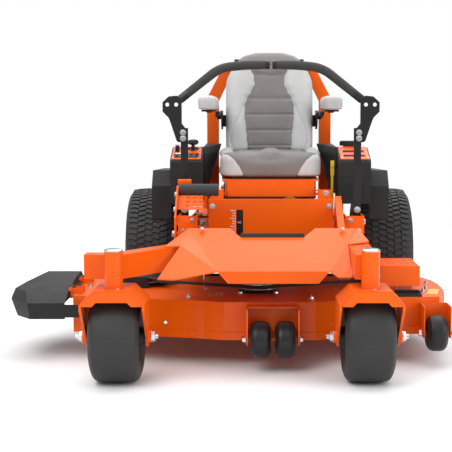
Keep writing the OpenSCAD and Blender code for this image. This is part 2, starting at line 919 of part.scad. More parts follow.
module roller(x0, x1, y) {
  w = x1 - x0;
  color(black) in_place() translate([(x0 + x1) / 2, y, roller_z]) turned_x() polygon([
    [-w / 2, roller_bolt_r + run_gap], [-w / 2, roller_r - 22], [-w / 2 + 4, roller_r - 12],
    [-w / 2 + 12, roller_r - 3], [-w / 2 + 22, roller_r], [w / 2 - 22, roller_r],
    [w / 2 - 12, roller_r - 3], [w / 2 - 4, roller_r - 12], [w / 2, roller_r - 22],
    [w / 2, roller_bolt_r + run_gap]
  ]);
}

module roller_middle_left() {
  roller(pair_in, pair_out, pair_y);
}

module roller_middle_right() {
  roller(-pair_out, -pair_in, pair_y);
}

module roller_corner() {
  roller(corner_in, corner_out, corner_y);
}

// Round cover over the right spindle's pulley, and the ribbed pad on the deck's left front.
module belt_covers() {
  s = spindles[2];
  color(black) in_place() {
    translate([s[0], s[1], deck_top]) difference() {
      rotate_extrude() polygon([
        [0, 58], [84, 58], [100, 52], [110, 42], [112, 0], [108, 0], [106, 40], [98, 48], [84, 54], [0, 54]
      ]);
      translate([20, -130, -1]) cube([130, 260, 44]);
    }
    block([446, -900, deck_top], [540, -884, deck_top + 16]);
    for (i = [0:3]) {
      block([446, -936 + i * 12, deck_top], [540, -930 + i * 12, deck_top + 10]);
    }
  }
}

// Folded step over the left spindle's belt, with a raised front.
module step_tray() {
  x0 = 452;
  x1 = 556;
  color(orange) in_place() {
    block([396, -878, 262], [x1 - 16, -875, 336]);
    block([396, -875, 333 - 3], [x1 - 16, -640, 333]);
    block([x1 - 19, -875, 262], [x1 - 16, -640, 330]);
    block([x0, -875, deck_top], [x0 + 4, -845, 330]);
    block([x1 - 23, -700, deck_top], [x1 - 19, -660, 330]);
  }
}

// Four links that hang the deck on the lift arms, with their feet on the deck.
module lift_links() {
  color(zinc) in_place() for (y = hanger_ys, side = [side_left, side_right]) on_side(side) difference() {
    union() {
      block([link_x, y - 10, deck_top], [link_x + 4, y + 10, lift_z]);
      rod_x(14, link_x, link_x + 4, y, lift_z);
      block([link_x - 16, y - 10, deck_top], [link_x, y + 10, deck_top + 5]);
    }
    rod_x(6 + run_gap, link_x - 1, link_x + 5, y, lift_z);
  }
}

// Chute that throws the grass down, hinged beside the deck's right edge.
module chute_solid(inset) {
  x1 = hinge_x - 8 - inset;
  hull() {
    translate([0, 0, 154 - (inset > 0 ? 20 : 0)]) linear_extrude(eps) polygon([
      [x1, chute_front + inset], [-871 + inset, chute_front + inset],
      [-930 + inset, -880], [-925 + inset, -640], [-880 + inset, chute_back - inset], [x1, chute_back - inset]
    ]);
    translate([0, 0, 212 - inset]) linear_extrude(eps) polygon([
      [x1, chute_front + inset], [-880 + inset, chute_front + inset],
      [-956 + inset, -860], [chute_tip_x + inset, -800], [-950 + inset, -640], [-890 + inset, chute_back - inset],
      [x1, chute_back - inset]
    ]);
    translate([0, 0, 241 - inset]) linear_extrude(eps) polygon([
      [x1, -870 + inset], [-900, -870 + inset], [-955 + inset, -790], [-945 + inset, -640], [-890 + inset, chute_back - inset],
      [x1, chute_back - inset]
    ]);
    translate([0, 0, 262 - inset]) linear_extrude(eps) polygon([
      [x1 - 8, -620], [-900, -620], [-885 + inset, chute_back - inset], [x1 - 8, chute_back - inset]
    ]);
  }
}

module discharge_chute() {
  x1 = hinge_x - 8;
  color(charcoal) in_place() {
    difference() {
      chute_solid(0);
      chute_solid(chute_t);
      block([x1 - chute_t - 1, chute_front + chute_t, 100], [x1 + 1, chute_back - chute_t, 212]);
    }
    block([x1 - eps, chute_front, 160], [-692, chute_front + chute_t, 206]);
    for (y = barrel_ys) difference() {
      union() {
        rod_y(hinge_r + 5, y, y + barrel_len, hinge_x, hinge_z);
        block([x1 - 12, y, hinge_z - 12], [hinge_x, y + barrel_len, hinge_z - 6]);
      }
      rod_y(hinge_r + run_gap, y - 20, y + barrel_len + 20, hinge_x, hinge_z);
    }
  }
}

// Wheels
// Caster fork with its stem and its axle bolt.
module fork(x) {
  t = 8;
  w = 105;
  shoulder = 45;
  top = swivel_z - 2;
  color(orange) in_place() translate([x, swivel_y, 0]) {
    along_y(-70, 112) polygon([
      [-w, 262], [-w, top - shoulder], [-w + shoulder, top], [w - shoulder, top], [w, top - shoulder],
      [w, 262], [w - t, 262], [w - t, top - shoulder - 3], [w - shoulder - 3, top - t],
      [-w + shoulder + 3, top - t], [-w + t, top - shoulder - 3], [-w + t, 262]
    ]);
    along_y(-74, -70) polygon([
      [-w + 10, 283], [-w + shoulder + 3, top - 2], [w - shoulder - 3, top - 2], [w - 10, 283],
      [w - 10, 277], [62, 277], [50, 290], [-50, 290], [-62, 277], [-w + 10, 277]
    ]);
    for (side = [side_left, side_right]) on_side(side) along_x(w - t, w) {
      polygon([[-70, 264], [112, 264], [caster_trail + 32, front_r], [caster_trail - 32, front_r]]);
      translate([caster_trail, front_r]) circle(r = 32);
    }
    cylinder_between(stem_r, top - 2, swivel_top - 4);
    rod_x(front_axle_r, -w - 14, w + 14, caster_trail, front_r);
    rod_x(20, w, w + 10, caster_trail, front_r);
    rod_x(20, -w - 10, -w, caster_trail, front_r);
  }
}

module fork_left() {
  fork(left_swivel_x);
}

module fork_right() {
  fork(-right_swivel_x);
}

module front_tyre(x) {
  color(rubber) in_place() translate([x, -wheelbase, front_r]) turned_x() {
    tyre_section(front_r, front_rim_r, front_tyre_w, front_tyre_w - 56);
  }
}

module front_tyre_left() {
  front_tyre(left_swivel_x);
}

module front_tyre_right() {
  front_tyre(-right_swivel_x);
}

// Rim with its hub, whose bore turns on the axle bolt.
module front_rim(x) {
  w = front_tyre_w - 44;
  color(charcoal) in_place() translate([x, -wheelbase, front_r]) turned_x() polygon([
    [-96.7, front_axle_r + run_gap], [-96.7, 26], [-30, 26], [-8, 34], [-8, front_rim_r - 8], [-w / 2 + 6, front_rim_r - 8],
    [-w / 2, front_rim_r - 0.3], [w / 2, front_rim_r - 0.3], [w / 2 - 6, front_rim_r - 8], [8, front_rim_r - 8], [8, 34],
    [30, 26], [96.7, 26], [96.7, front_axle_r + run_gap]
  ]);
}

module front_rim_left() {
  front_rim(left_swivel_x);
}

module front_rim_right() {
  front_rim(-right_swivel_x);
}

module rear_tyre(side) {
  color(rubber) in_place() on_side(side) translate([rear_in + rear_tyre_w / 2, 0, rear_r]) turned_x() {
    tyre_section(rear_r, rear_rim_r, rear_tyre_w, rear_tyre_w - 44);
  }
}

module rear_tyre_left() {
  rear_tyre(side_left);
}

module rear_tyre_right() {
  rear_tyre(side_right);
}

// Deep rim, the axle shaft with its hub, and five wheel nuts.
module rear_rim(side) {
  w = rear_tyre_w - 30;
  disc = 60;
  disc_x = rear_in + rear_tyre_w / 2 - w / 2 + disc;
  color(charcoal) in_place() on_side(side) {
    translate([rear_in + rear_tyre_w / 2, 0, rear_r]) turned_x() polygon([
      [-w / 2, rear_rim_r - 0.3], [w / 2, rear_rim_r - 0.3], [w / 2 - 8, rear_rim_r - 14],
      [-w / 2 + disc + 14, rear_rim_r - 14], [-w / 2 + disc, 66], [-w / 2 + disc, 20],
      [-w / 2 + disc - 8, 20], [-w / 2 + disc - 8, 66], [-w / 2 + disc + 4, rear_rim_r - 14],
      [-w / 2 + 8, rear_rim_r - 14]
    ]);
    rod_x(axle_r, 192, disc_x + 6, 0, rear_r);
    rod_x(52, rail_out + 6.4, disc_x - 8, 0, rear_r);
    for (i = [0:4]) translate([disc_x, 0, rear_r]) rotate([i * 72, 0, 0]) translate([0, 0, 38]) {
      rotate([0, 90, 0]) cylinder(r = 9, h = 14, $fn = 6);
    }
  }
}

module rear_rim_left() {
  rear_rim(side_left);
}

module rear_rim_right() {
  rear_rim(side_right);
}

// Cross pin of a lever in its mount, with the neck and pin that the stem swings on.
module lever_base(side) {
  x0 = lever_x - 14;
  neck_y = lever_y + face_gap;
  color(black) in_place() on_side(side) {
    rod_x(12, lever_x - 56, lever_x + 24, lever_y, lever_pivot_z);
    block([x0, lever_y - 16, lever_pivot_z - 16], [x0 + 28, lever_y + 16, lever_pivot_z + 16]);
    block([x0, neck_y, lever_pivot_z + 10], [x0 + 28, neck_y + 11, swing_z + 18]);
    rod_y(6, lever_y - 20, neck_y + 4, lever_x, swing_z);
  }
}

module lever_base_left() {
  lever_base(side_left);
}

module lever_base_right() {
  lever_base(side_right);
}

// Stem, head plate and bent hand bar of one lever, with the two bolts that join them.
module lap_bar(side) {
  front = lever_y - stem_bar_t;
  bar_y = lever_y;
  path = rounded_path([
    [346, bar_y, 943], [196, bar_y, 1061], [100, bar_y, bar_z - 1], [bar_gap / 2, bar_y, bar_z]
  ], 34);
  color(black) in_place() on_side(side) {
    difference() {
      union() {
        block([lever_x - 14, front, swing_z], [lever_x + 14, lever_y, stem_top]);
        rod_y(14, front, lever_y, lever_x, swing_z);
      }
      rod_y(6 + run_gap, front - 1, lever_y + 1, lever_x, swing_z);
    }
    difference() {
      along_y(front - head_t, front) polygon([
        [341, 940], [360, 956], [390, 953], [414, 931], [414, 895], [392, 873], [387, 862], [361, 784],
        [355, 779], [322, 779], [322, 826], [341, 850]
      ]);
      for (x = [362, 396]) {
        rod_y(7.5, front - head_t - 1, front + 1, x, 922);
      }
    }
    bent_bar(path, bar_r, [0, 1, 0]);
    for (z = [794, 816]) {
      rod_y(8, front - head_t - 6, front - head_t, lever_x + 4, z);
    }
  }
}

module lap_bar_left() {
  lap_bar(side_left);
}

module lap_bar_right() {
  lap_bar(side_right);
}

// Seat
module seat_plate() {
  color(orange) in_place() {
    block([-171, -563, 565], [171, -560, plate_z]);
    block([-190, -563, plate_z - 4], [190, -120, plate_z]);
    for (side = [side_left, side_right]) on_side(side) {
      block([173, -563, 570], [177, -400, plate_z - 4]);
      block([173, seat_hinge[0] - 8, seat_hinge[1] - 8], [177, -563, seat_hinge[1] + 8]);
      rod_x(5, 172, 194, seat_hinge[0], seat_hinge[1]);
      block([150, -160, box_top + face_gap], [170, -140, plate_z - 4]);
    }
  }
}

function back_y(z, depth) = -180 + depth + (z - 760) * 0.154;

// Black shell under and behind the seat, with the armrests' side brackets and the slide rails.
module seat_frame() {
  z0 = plate_z + face_gap;
  x0 = back_w / 2 + 4;
  color(black) in_place() {
    along_x(-150, 150) polygon([
      [-500, z0], [-96, z0], [-84, 745], [back_y(1120, 97), 1120], [back_y(1120, 91), 1120],
      [back_y(745, 91), 745], [-104, seat_z - face_gap], [-500, seat_z - face_gap]
    ]);
    for (side = [side_left, side_right]) on_side(side) difference() {
      union() {
        along_x(x0, x0 + 6) polygon([
          [-190, 850], [-150, 820], [back_y(820, 97), 820], [back_y(900, 97), 900], [-180, 900], [-190, 890]
        ]);
        along_x(148, x0 + 6) polygon([
          [back_y(830, 91), 830], [back_y(830, 97), 830], [back_y(880, 97), 880], [back_y(880, 91), 880]
        ]);
      }
      rod_x(8 + run_gap, x0 - 1, x0 + 7, arm_pivot[0], arm_pivot[1]);
    }
  }
}

module seat_cushion() {
  color(grey_vinyl) in_place() {
    padded_block([-seat_w / 2, seat_front, seat_z], [seat_w / 2, seat_front + seat_len, seat_z + seat_h], 28);
  }
}

module seat_back() {
  r = 34;
  color(grey_vinyl) in_place() hull() {
    for (z = [780, 960], side = [-1, 1]) {
      translate([side * (back_w / 2 - r), back_y(z, 90) - r, z]) sphere(r = r, $fn = 24);
      translate([side * (back_w / 2 - r), back_y(z, 0) + r, z]) sphere(r = r, $fn = 24);
    }
    for (side = [-1, 1]) {
      translate([side * (134 - r), back_y(back_top - r, 90) - r, back_top - r]) sphere(r = r, $fn = 24);
      translate([side * (134 - r), back_y(back_top - r, 14) + r, back_top - r]) sphere(r = r, $fn = 24);
    }
  }
}

// Padded armrest with its bracket and pivot pin.
module armrest(side) {
  x1 = arm_in + arm_w;
  color(light_vinyl) in_place() on_side(side) {
    padded_block([arm_in, arm_front, arm_z], [x1, arm_front + arm_len, arm_z + arm_h], 16);
  }
  color(black) in_place() on_side(side) {
    block([arm_in + 8, arm_front + 60, arm_z - 8], [x1 - 14, arm_front + arm_len - 20, arm_z - face_gap]);
    block([arm_in - 5, arm_front + 140, arm_z - 24], [arm_in + 12, arm_pivot[0], arm_z - 8]);
    rod_x(18, arm_in - 5, arm_in + 12, arm_pivot[0], arm_pivot[1]);
    rod_x(8, back_w / 2 + 2, arm_in + 2, arm_pivot[0], arm_pivot[1]);
  }
}

module armrest_left() {
  armrest(side_left);
}

module armrest_right() {
  armrest(side_right);
}

// Deck lift
module lift_pedal() {
  y0 = pedal_pivot[0];
  z0 = pedal_pivot[1];
  color(orange) in_place() {
    difference() {
      along_x(-352, -346) polygon([
        [y0 - 16, z0 - 12], [y0 + 16, z0 - 12], [y0 + 22, z0 + 70], [y0 + 160, z0 + 140], [y0 + 160, z0 + 166],
        [y0 + 128, z0 + 166], [y0 + 60, z0 + 120], [y0 - 16, z0 + 60]
      ]);
      rod_x(9 + run_gap, -353, -345, y0, z0);
    }
    difference() {
      along_x(-346, -253) polygon([
        [y0 + 70, z0 + 84], [y0 + 73, z0 + 82], [y0 + 122, z0 + 128], [y0 + 119, z0 + 131]
      ]);
      for (i = [0:2], k = [0:2]) {
        translate([-316 + i * 24, y0 + 80 + k * 14, z0 + 60]) cube([16, 6, 100]);
      }
    }
    block([-346, y0 + 14, z0 + 40], [-300, y0 + 18, z0 + 66]);
    rod_x(19, -346, -196, y0 + 140, z0 + 150);
    block([-336, y0 + 172, z0 + 126], [-330, y0 + 178, z0 + 168]);
    block([-346, y0 + 166, z0 + 168], [-306, y0 + 184, z0 + 186]);
    block([-346, y0 + 152, z0 + 144], [-330, y0 + 178, z0 + 150]);
  }
}

// Cross shaft between the rails, with an arm at each side that lifts the deck's links.
module lift_shaft(y) {
  color(steel) in_place() {
    rod_x(lift_r, -rail_in - rail_wall, rail_in + rail_wall, y + lift_arm, lift_z);
    for (side = [side_left, side_right]) on_side(side) along_x(lift_arm_x, lift_arm_x + 8) union() {
      translate([y + lift_arm, lift_z]) circle(r = 18);
      translate([y, lift_z]) circle(r = 12);
      polygon([[y, lift_z - 12], [y + lift_arm, lift_z - 17], [y + lift_arm, lift_z + 17], [y, lift_z + 12]]);
    }
  }
}

module lift_shaft_front() {
  lift_shaft(hanger_ys[0]);
}

module lift_shaft_rear() {
  lift_shaft(hanger_ys[1]);
}

// Controls
module fuel_cap() {
  color(black) in_place() translate([cap_at[0], cap_at[1], 0]) difference() {
    union() {
      cylinder_between(42, 756.5, 776);
      for (i = [0:17]) rotate([0, 0, i * 20]) translate([42, 0, 0]) cylinder_between(3, 757, 772);
      cylinder_between(24 - run_gap, 744, 757);
    }
    cylinder_between(20, 743, 752);
  }
}

module blade_switch() {
  color(black) in_place() translate([-311, -400, 0]) {
    cylinder_between(7, 716, 762);
    translate([0, 0, 762]) rotate_extrude() polygon([
      [0, 0], [14, 0], [22, 6], [22, 14], [16, 20], [0, 22]
    ]);
  }
}

left_rail();
right_rail();
cross_members();
caster_bearings();
foot_plate();
floor_mat();
seat_box();
lever_mounts();
fuel_tank();
control_console();
fenders();
console_panels();
seat_hoop();
engine_block();
engine_shroud();
muffler();
hydro_drives();
engine_guard();
frame_bolts();
oil_dipstick();
engine_fan();
deck_shell();
spindle_housings();
roller_brackets();
deck_belt();
belt_covers();
step_tray();
lift_links();
blade_spindle_left();
blade_spindle_middle();
blade_spindle_right();
discharge_chute();
roller_middle_left();
roller_middle_right();
roller_corner();
fork_left();
fork_right();
front_tyre_left();
front_tyre_right();
front_rim_left();
front_rim_right();
rear_tyre_left();
rear_tyre_right();
rear_rim_left();
rear_rim_right();
lever_base_left();
lever_base_right();
lap_bar_left();
lap_bar_right();
seat_plate();
seat_frame();
seat_cushion();
seat_back();
armrest_left();
armrest_right();
lift_pedal();
lift_shaft_front();
lift_shaft_rear();
fuel_cap();
blade_switch();
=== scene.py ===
"""The looks of a zero-turn riding mower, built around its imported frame."""
import json
import math

import bmesh
import bpy
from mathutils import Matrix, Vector


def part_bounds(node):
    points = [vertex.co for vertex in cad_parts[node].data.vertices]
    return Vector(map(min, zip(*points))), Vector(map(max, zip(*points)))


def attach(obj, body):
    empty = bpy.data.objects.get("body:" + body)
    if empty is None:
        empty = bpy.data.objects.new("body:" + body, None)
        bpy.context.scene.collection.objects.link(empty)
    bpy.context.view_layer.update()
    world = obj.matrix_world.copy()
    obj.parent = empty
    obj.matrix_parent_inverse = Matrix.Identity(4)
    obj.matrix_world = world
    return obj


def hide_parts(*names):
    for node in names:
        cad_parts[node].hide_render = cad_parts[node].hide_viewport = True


bl_info = {
    "name": "Riding mower looks",
    "version": (1, 0, 0),
    "blender": (4, 5, 0),
    "location": "3D View > Sidebar > Mower",
    "description": "Builds the tyres, seat, levers, trim and finishes of a riding mower",
    "category": "Object",
}

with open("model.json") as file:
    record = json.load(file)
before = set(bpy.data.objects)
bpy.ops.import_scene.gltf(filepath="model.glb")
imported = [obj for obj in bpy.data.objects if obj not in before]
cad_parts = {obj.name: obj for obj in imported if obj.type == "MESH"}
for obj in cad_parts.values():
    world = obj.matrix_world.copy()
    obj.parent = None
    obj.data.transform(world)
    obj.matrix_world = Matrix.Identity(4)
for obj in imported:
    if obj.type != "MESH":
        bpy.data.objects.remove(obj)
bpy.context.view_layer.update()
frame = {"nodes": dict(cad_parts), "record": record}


# ---------------------------------------------------------------- places
def middle(node):
    """The middle of a CAD node's box, in the row frame."""
    low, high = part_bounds(node)
    return (Vector(low) + Vector(high)) / 2


REAR_AXLE = (middle("rear_rim_left") + middle("rear_rim_right")) / 2
MM_PER_M = 1000


def at(x, y, z):
    """A point in millimetres from the rear axle's middle, x to the driver's left and z up."""
    return Vector((REAR_AXLE.x + x / MM_PER_M, REAR_AXLE.y + y / MM_PER_M, z / MM_PER_M))


def from_axle(point):
    """The opposite of at()."""
    return Vector((
        (point[0] - REAR_AXLE.x) * MM_PER_M, (point[1] - REAR_AXLE.y) * MM_PER_M, point[2] * MM_PER_M
    ))


def part_box(node):
    """A CAD node's box in millimetres from the rear axle."""
    low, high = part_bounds(node)
    return from_axle(low), from_axle(high)


# ---------------------------------------------------------------- mesh making
class Part:
    """Closed bodies gathered into one piece, drawn in millimetres from the rear axle."""

    def __init__(self):
        self.verts = []
        self.faces = []

    def add(self, verts, faces):
        start = len(self.verts)
        self.verts += [Vector(v) for v in verts]
        self.faces += [[start + i for i in face] for face in faces]
        return self

    def box(self, low, high):
        (x0, y0, z0), (x1, y1, z1) = low, high
        corners = [(x, y, z) for x in (x0, x1) for y in (y0, y1) for z in (z0, z1)]
        return self.add(
            corners, [(0, 1, 3, 2), (4, 6, 7, 5), (0, 4, 5, 1), (2, 3, 7, 6), (0, 2, 6, 4), (1, 5, 7, 3)]
        )

    def prism(self, axis, outline, start, end):
        """An outline drawn in the two other axes, made solid along one axis."""
        n = len(outline)
        place = {
            "x": lambda a, b, c: (c, a, b),
            "y": lambda a, b, c: (a, c, b),
            "z": lambda a, b, c: (a, b, c),
        }[axis]
        verts = [place(a, b, c) for c in (start, end) for a, b in outline]
        faces = [list(range(n)), list(range(2 * n - 1, n - 1, -1))]
        faces += [(i, i + n, (i + 1) % n + n, (i + 1) % n) for i in range(n)]
        return self.add(verts, faces)

    def lathe(self, axis, centre, profile, sides=48):
        """A profile of (along, radius) pairs turned round an axis through centre."""
        place = {
            "x": lambda a, c, s: (a, c, s),
            "y": lambda a, c, s: (s, a, c),
            "z": lambda a, c, s: (c, s, a),
        }[axis]
        verts, rows = [], []
        for along, radius in profile:
            if radius < 1e-6:
                rows.append([len(verts)])
                verts.append(Vector(centre) + Vector(place(along, 0, 0)))
            else:
                rows.append(list(range(len(verts), len(verts) + sides)))
                for k in range(sides):
                    turn = 2 * math.pi * k / sides
                    verts.append(
                        Vector(centre) + Vector(
                            place(along, radius * math.cos(turn), radius * math.sin(turn))
                        )
                    )
        closed = len(rows[0]) > 1 and len(rows[-1]) > 1
        faces = []
        for a, b in zip(rows, rows[1:] + rows[:1] if closed else rows[1:]):
            for k in range(sides):
                m = (k + 1) % sides
                if len(a) == 1 and len(b) > 1:
                    faces.append((a[0], b[m], b[k]))
                elif len(b) == 1 and len(a) > 1:
                    faces.append((a[k], a[m], b[0]))
                elif len(a) > 1:
                    faces.append((a[k], a[m], b[m], b[k]))
        return self.add(verts, faces)

    def rod(self, axis, radius, start, end, p, q, chamfer=0.6, sides=24):
        """A round bar along an axis, through p and q on the two other axes."""
        centre = {"x": (0, p, q), "y": (p, 0, q), "z": (p, q, 0)}[axis]
        chamfer = min(chamfer, radius / 3, abs(end - start) / 3)
        return self.lathe(axis, centre, [
            (start, 0), (start, radius - chamfer), (start + chamfer, radius),
            (end - chamfer, radius), (end, radius - chamfer), (end, 0),
        ], sides)

    def tube(self, path, radius, sides=16, closed=False):
        """A round tube along a path of points; radius is a number or one per point."""
        path = [Vector(p) for p in path]
        count = len(path)
        radii = radius if isinstance(radius, (list, tuple)) else [radius] * count
        verts, side = [], None
        for i, point in enumerate(path):
            before = path[i - 1] if i or closed else path[0]
            after = path[(i + 1) % count] if i < count - 1 or closed else path[-1]
            along = (after - before).normalized()
            if side is None:
                side = along.orthogonal().normalized()
            side = (side - along * side.dot(along)).normalized()
            up = along.cross(side)
            for k in range(sides):
                turn = 2 * math.pi * k / sides
                verts.append(point + radii[i] * (math.cos(turn) * side + math.sin(turn) * up))
        faces = []
        for i in range(count if closed else count - 1):
            a, b = i * sides, (i + 1) % count * sides
            for k in range(sides):
                m = (k + 1) % sides
                faces.append((a + k, a + m, b + m, b + k))
        if not closed:
            faces += [list(range(sides))[::-1], [(count - 1) * sides + k for k in range(sides)]]
        return self.add(verts, faces)

    def bolt(self, axis, head_r, start, end, p, q, washer=0):
        """A six-sided head between start and end, with a washer of that radius under it."""
        place = {
            "x": lambda a, c, s: (a, p + c, q + s), "y": lambda a, c, s: (p + c, a, q + s), "z": lambda a, c,
            s: (p + c, q + s, a)
        }[axis]
        ring = [(math.cos(math.radians(60 * k + 30)), math.sin(math.radians(60 * k + 30))) for k in range(6)]
        top = end - 0.18 * (end - start)
        verts = [place(start, head_r * c, head_r * s) for c, s in ring]
        verts += [place(top, head_r * c, head_r * s) for c, s in ring]
        verts += [place(end, 0.84 * head_r * c, 0.84 * head_r * s) for c, s in ring]
        faces = [list(range(6))[::-1], list(range(12, 18))]
        faces += [(r + k, r + (k + 1) % 6, r + 6 + (k + 1) % 6, r + 6 + k) for r in (0, 6) for k in range(6)]
        self.add(verts, faces)
        if washer:
            thick = 1.6 if end > start else -1.6
            self.rod(axis, washer, start - 0.2, start + thick, p, q, 0.3, 28)
        return self

    def mirrored(self):
        """The same piece on the other side of the centre line."""
        other = Part()
        other.verts = [Vector((-v.x, v.y, v.z)) for v in self.verts]
        other.faces = [face[::-1] for face in self.faces]
        return other

    def build(
        self, name, material, body, slot, bevel=0.0, sharp=38, stands_for=(), extra_materials=(), pick=None
    ):
        """Makes the object, sets its finish and lets it ride on a body."""
        mesh = bpy.data.meshes.new(name)
        mesh.from_pydata([at(*v) for v in self.verts], [], self.faces)
        work = bmesh.new()
        work.from_mesh(mesh)
        bmesh.ops.remove_doubles(work, verts=work.verts, dist=1e-6)
        bmesh.ops.recalc_face_normals(work, faces=work.faces)
        finish_edges(work, sharp)
        work.to_mesh(mesh)
        work.free()
        obj = bpy.data.objects.new(name, mesh)
        bpy.context.scene.collection.objects.link(obj)
        for finish in (material, *extra_materials):
            obj.data.materials.append(bpy.data.materials[finish])
        if pick:
            for face in mesh.polygons:
                face.material_index = pick(from_axle(face.center))
        if bevel:
            edge = obj.modifiers.new("soft_edges", "BEVEL")
            edge.width = bevel / 1000
            edge.segments = 2
            edge.limit_method = "ANGLE"
            edge.angle_limit = math.radians(sharp)
            edge.harden_normals = True
        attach(obj, body)
        if stands_for:
            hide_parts(*stands_for)
        return obj


def finish_edges(work, sharp):
    """Smooth faces, with creases where two faces meet at more than sharp degrees."""
    for face in work.faces:
        face.smooth = True
    for edge in work.edges:
        if len(edge.link_faces) == 2:
            edge.smooth = edge.calc_face_angle(0) < math.radians(sharp)
        else:
            edge.smooth = False


def arc(centre, radius, start, end, steps):
    """Points on an arc in a plane, angles in degrees."""
    return [
        (centre[0] + radius * math.cos(math.radians(start + (end - start) * k / steps)),
         centre[1] + radius * math.sin(math.radians(start + (end - start) * k / steps)))
        for k in range(steps + 1)
    ]


def rounded(outline, radius, steps=4):
    """A flat outline with its corners rounded."""
    points = []
    for i, corner in enumerate(outline):
        corner = Vector(corner)
        a = Vector(outline[i - 1]) - corner
        b = Vector(outline[(i + 1) % len(outline)]) - corner
        reach = min(radius, a.length * 0.45, b.length * 0.45)
        p, q = corner + a.normalized() * reach, corner + b.normalized() * reach
        for k in range(steps + 1):
            t = k / steps
            points.append(tuple((1 - t) ** 2 * p + 2 * t * (1 - t) * corner + t * t * q))
    return points


def soft_path(points, radius, steps=8):
    """A path in space with its corners rounded."""
    path = [Vector(points[0])]
    for before, corner, after in zip(points, points[1:], points[2:]):
        before, corner, after = Vector(before), Vector(corner), Vector(after)
        reach = min(radius, (before - corner).length * 0.48, (after - corner).length * 0.48)
        p = corner + (before - corner).normalized() * reach
        q = corner + (after - corner).normalized() * reach
        path += [
            (1 - k / steps) ** 2 * p + 2 * k / steps * (1 - k / steps) * corner + (k / steps) ** 2 * q
            for k in range(steps + 1)
        ]
    return path + [Vector(points[-1])]


def smooth_step(low, high, value):
    t = min(1.0, max(0.0, (value - low) / (high - low)))
    return t * t * (3 - 2 * t)


def gap_to_line(point, line):
    """Distance from a flat point to a polyline."""
    best = 1e9
    for (ax, ay), (bx, by) in zip(line, line[1:]):
        dx, dy = bx - ax, by - ay
        t = max(0.0, min(1.0, ((point[0] - ax) * dx + (point[1] - ay) * dy) / (dx * dx + dy * dy)))
        best = min(best, math.hypot(point[0] - ax - t * dx, point[1] - ay - t * dy))
    return best


# ---------------------------------------------------------------- shader groups
def new_group(name, inputs, outputs):
    tree = bpy.data.node_groups.new(name, "ShaderNodeTree")
    for socket, kind, default in inputs:
        made = tree.interface.new_socket(socket, in_out="INPUT", socket_type=kind)
        made.default_value = default
    for socket, kind in outputs:
        tree.interface.new_socket(socket, in_out="OUTPUT", socket_type=kind)
    return tree, tree.nodes.new("NodeGroupInput"), tree.nodes.new("NodeGroupOutput")


def put(tree, kind, values=(), **settings):
    """Adds a node, sets its properties and its sockets' values."""
    node = tree.nodes.new(kind)
    for key, value in settings.items():
        setattr(node, key, value)
    for socket, value in dict(values).items():
        node.inputs[socket].default_value = value
    return node


def wire(tree, *pairs):
    for out, into in pairs:
        tree.links.new(out, into)


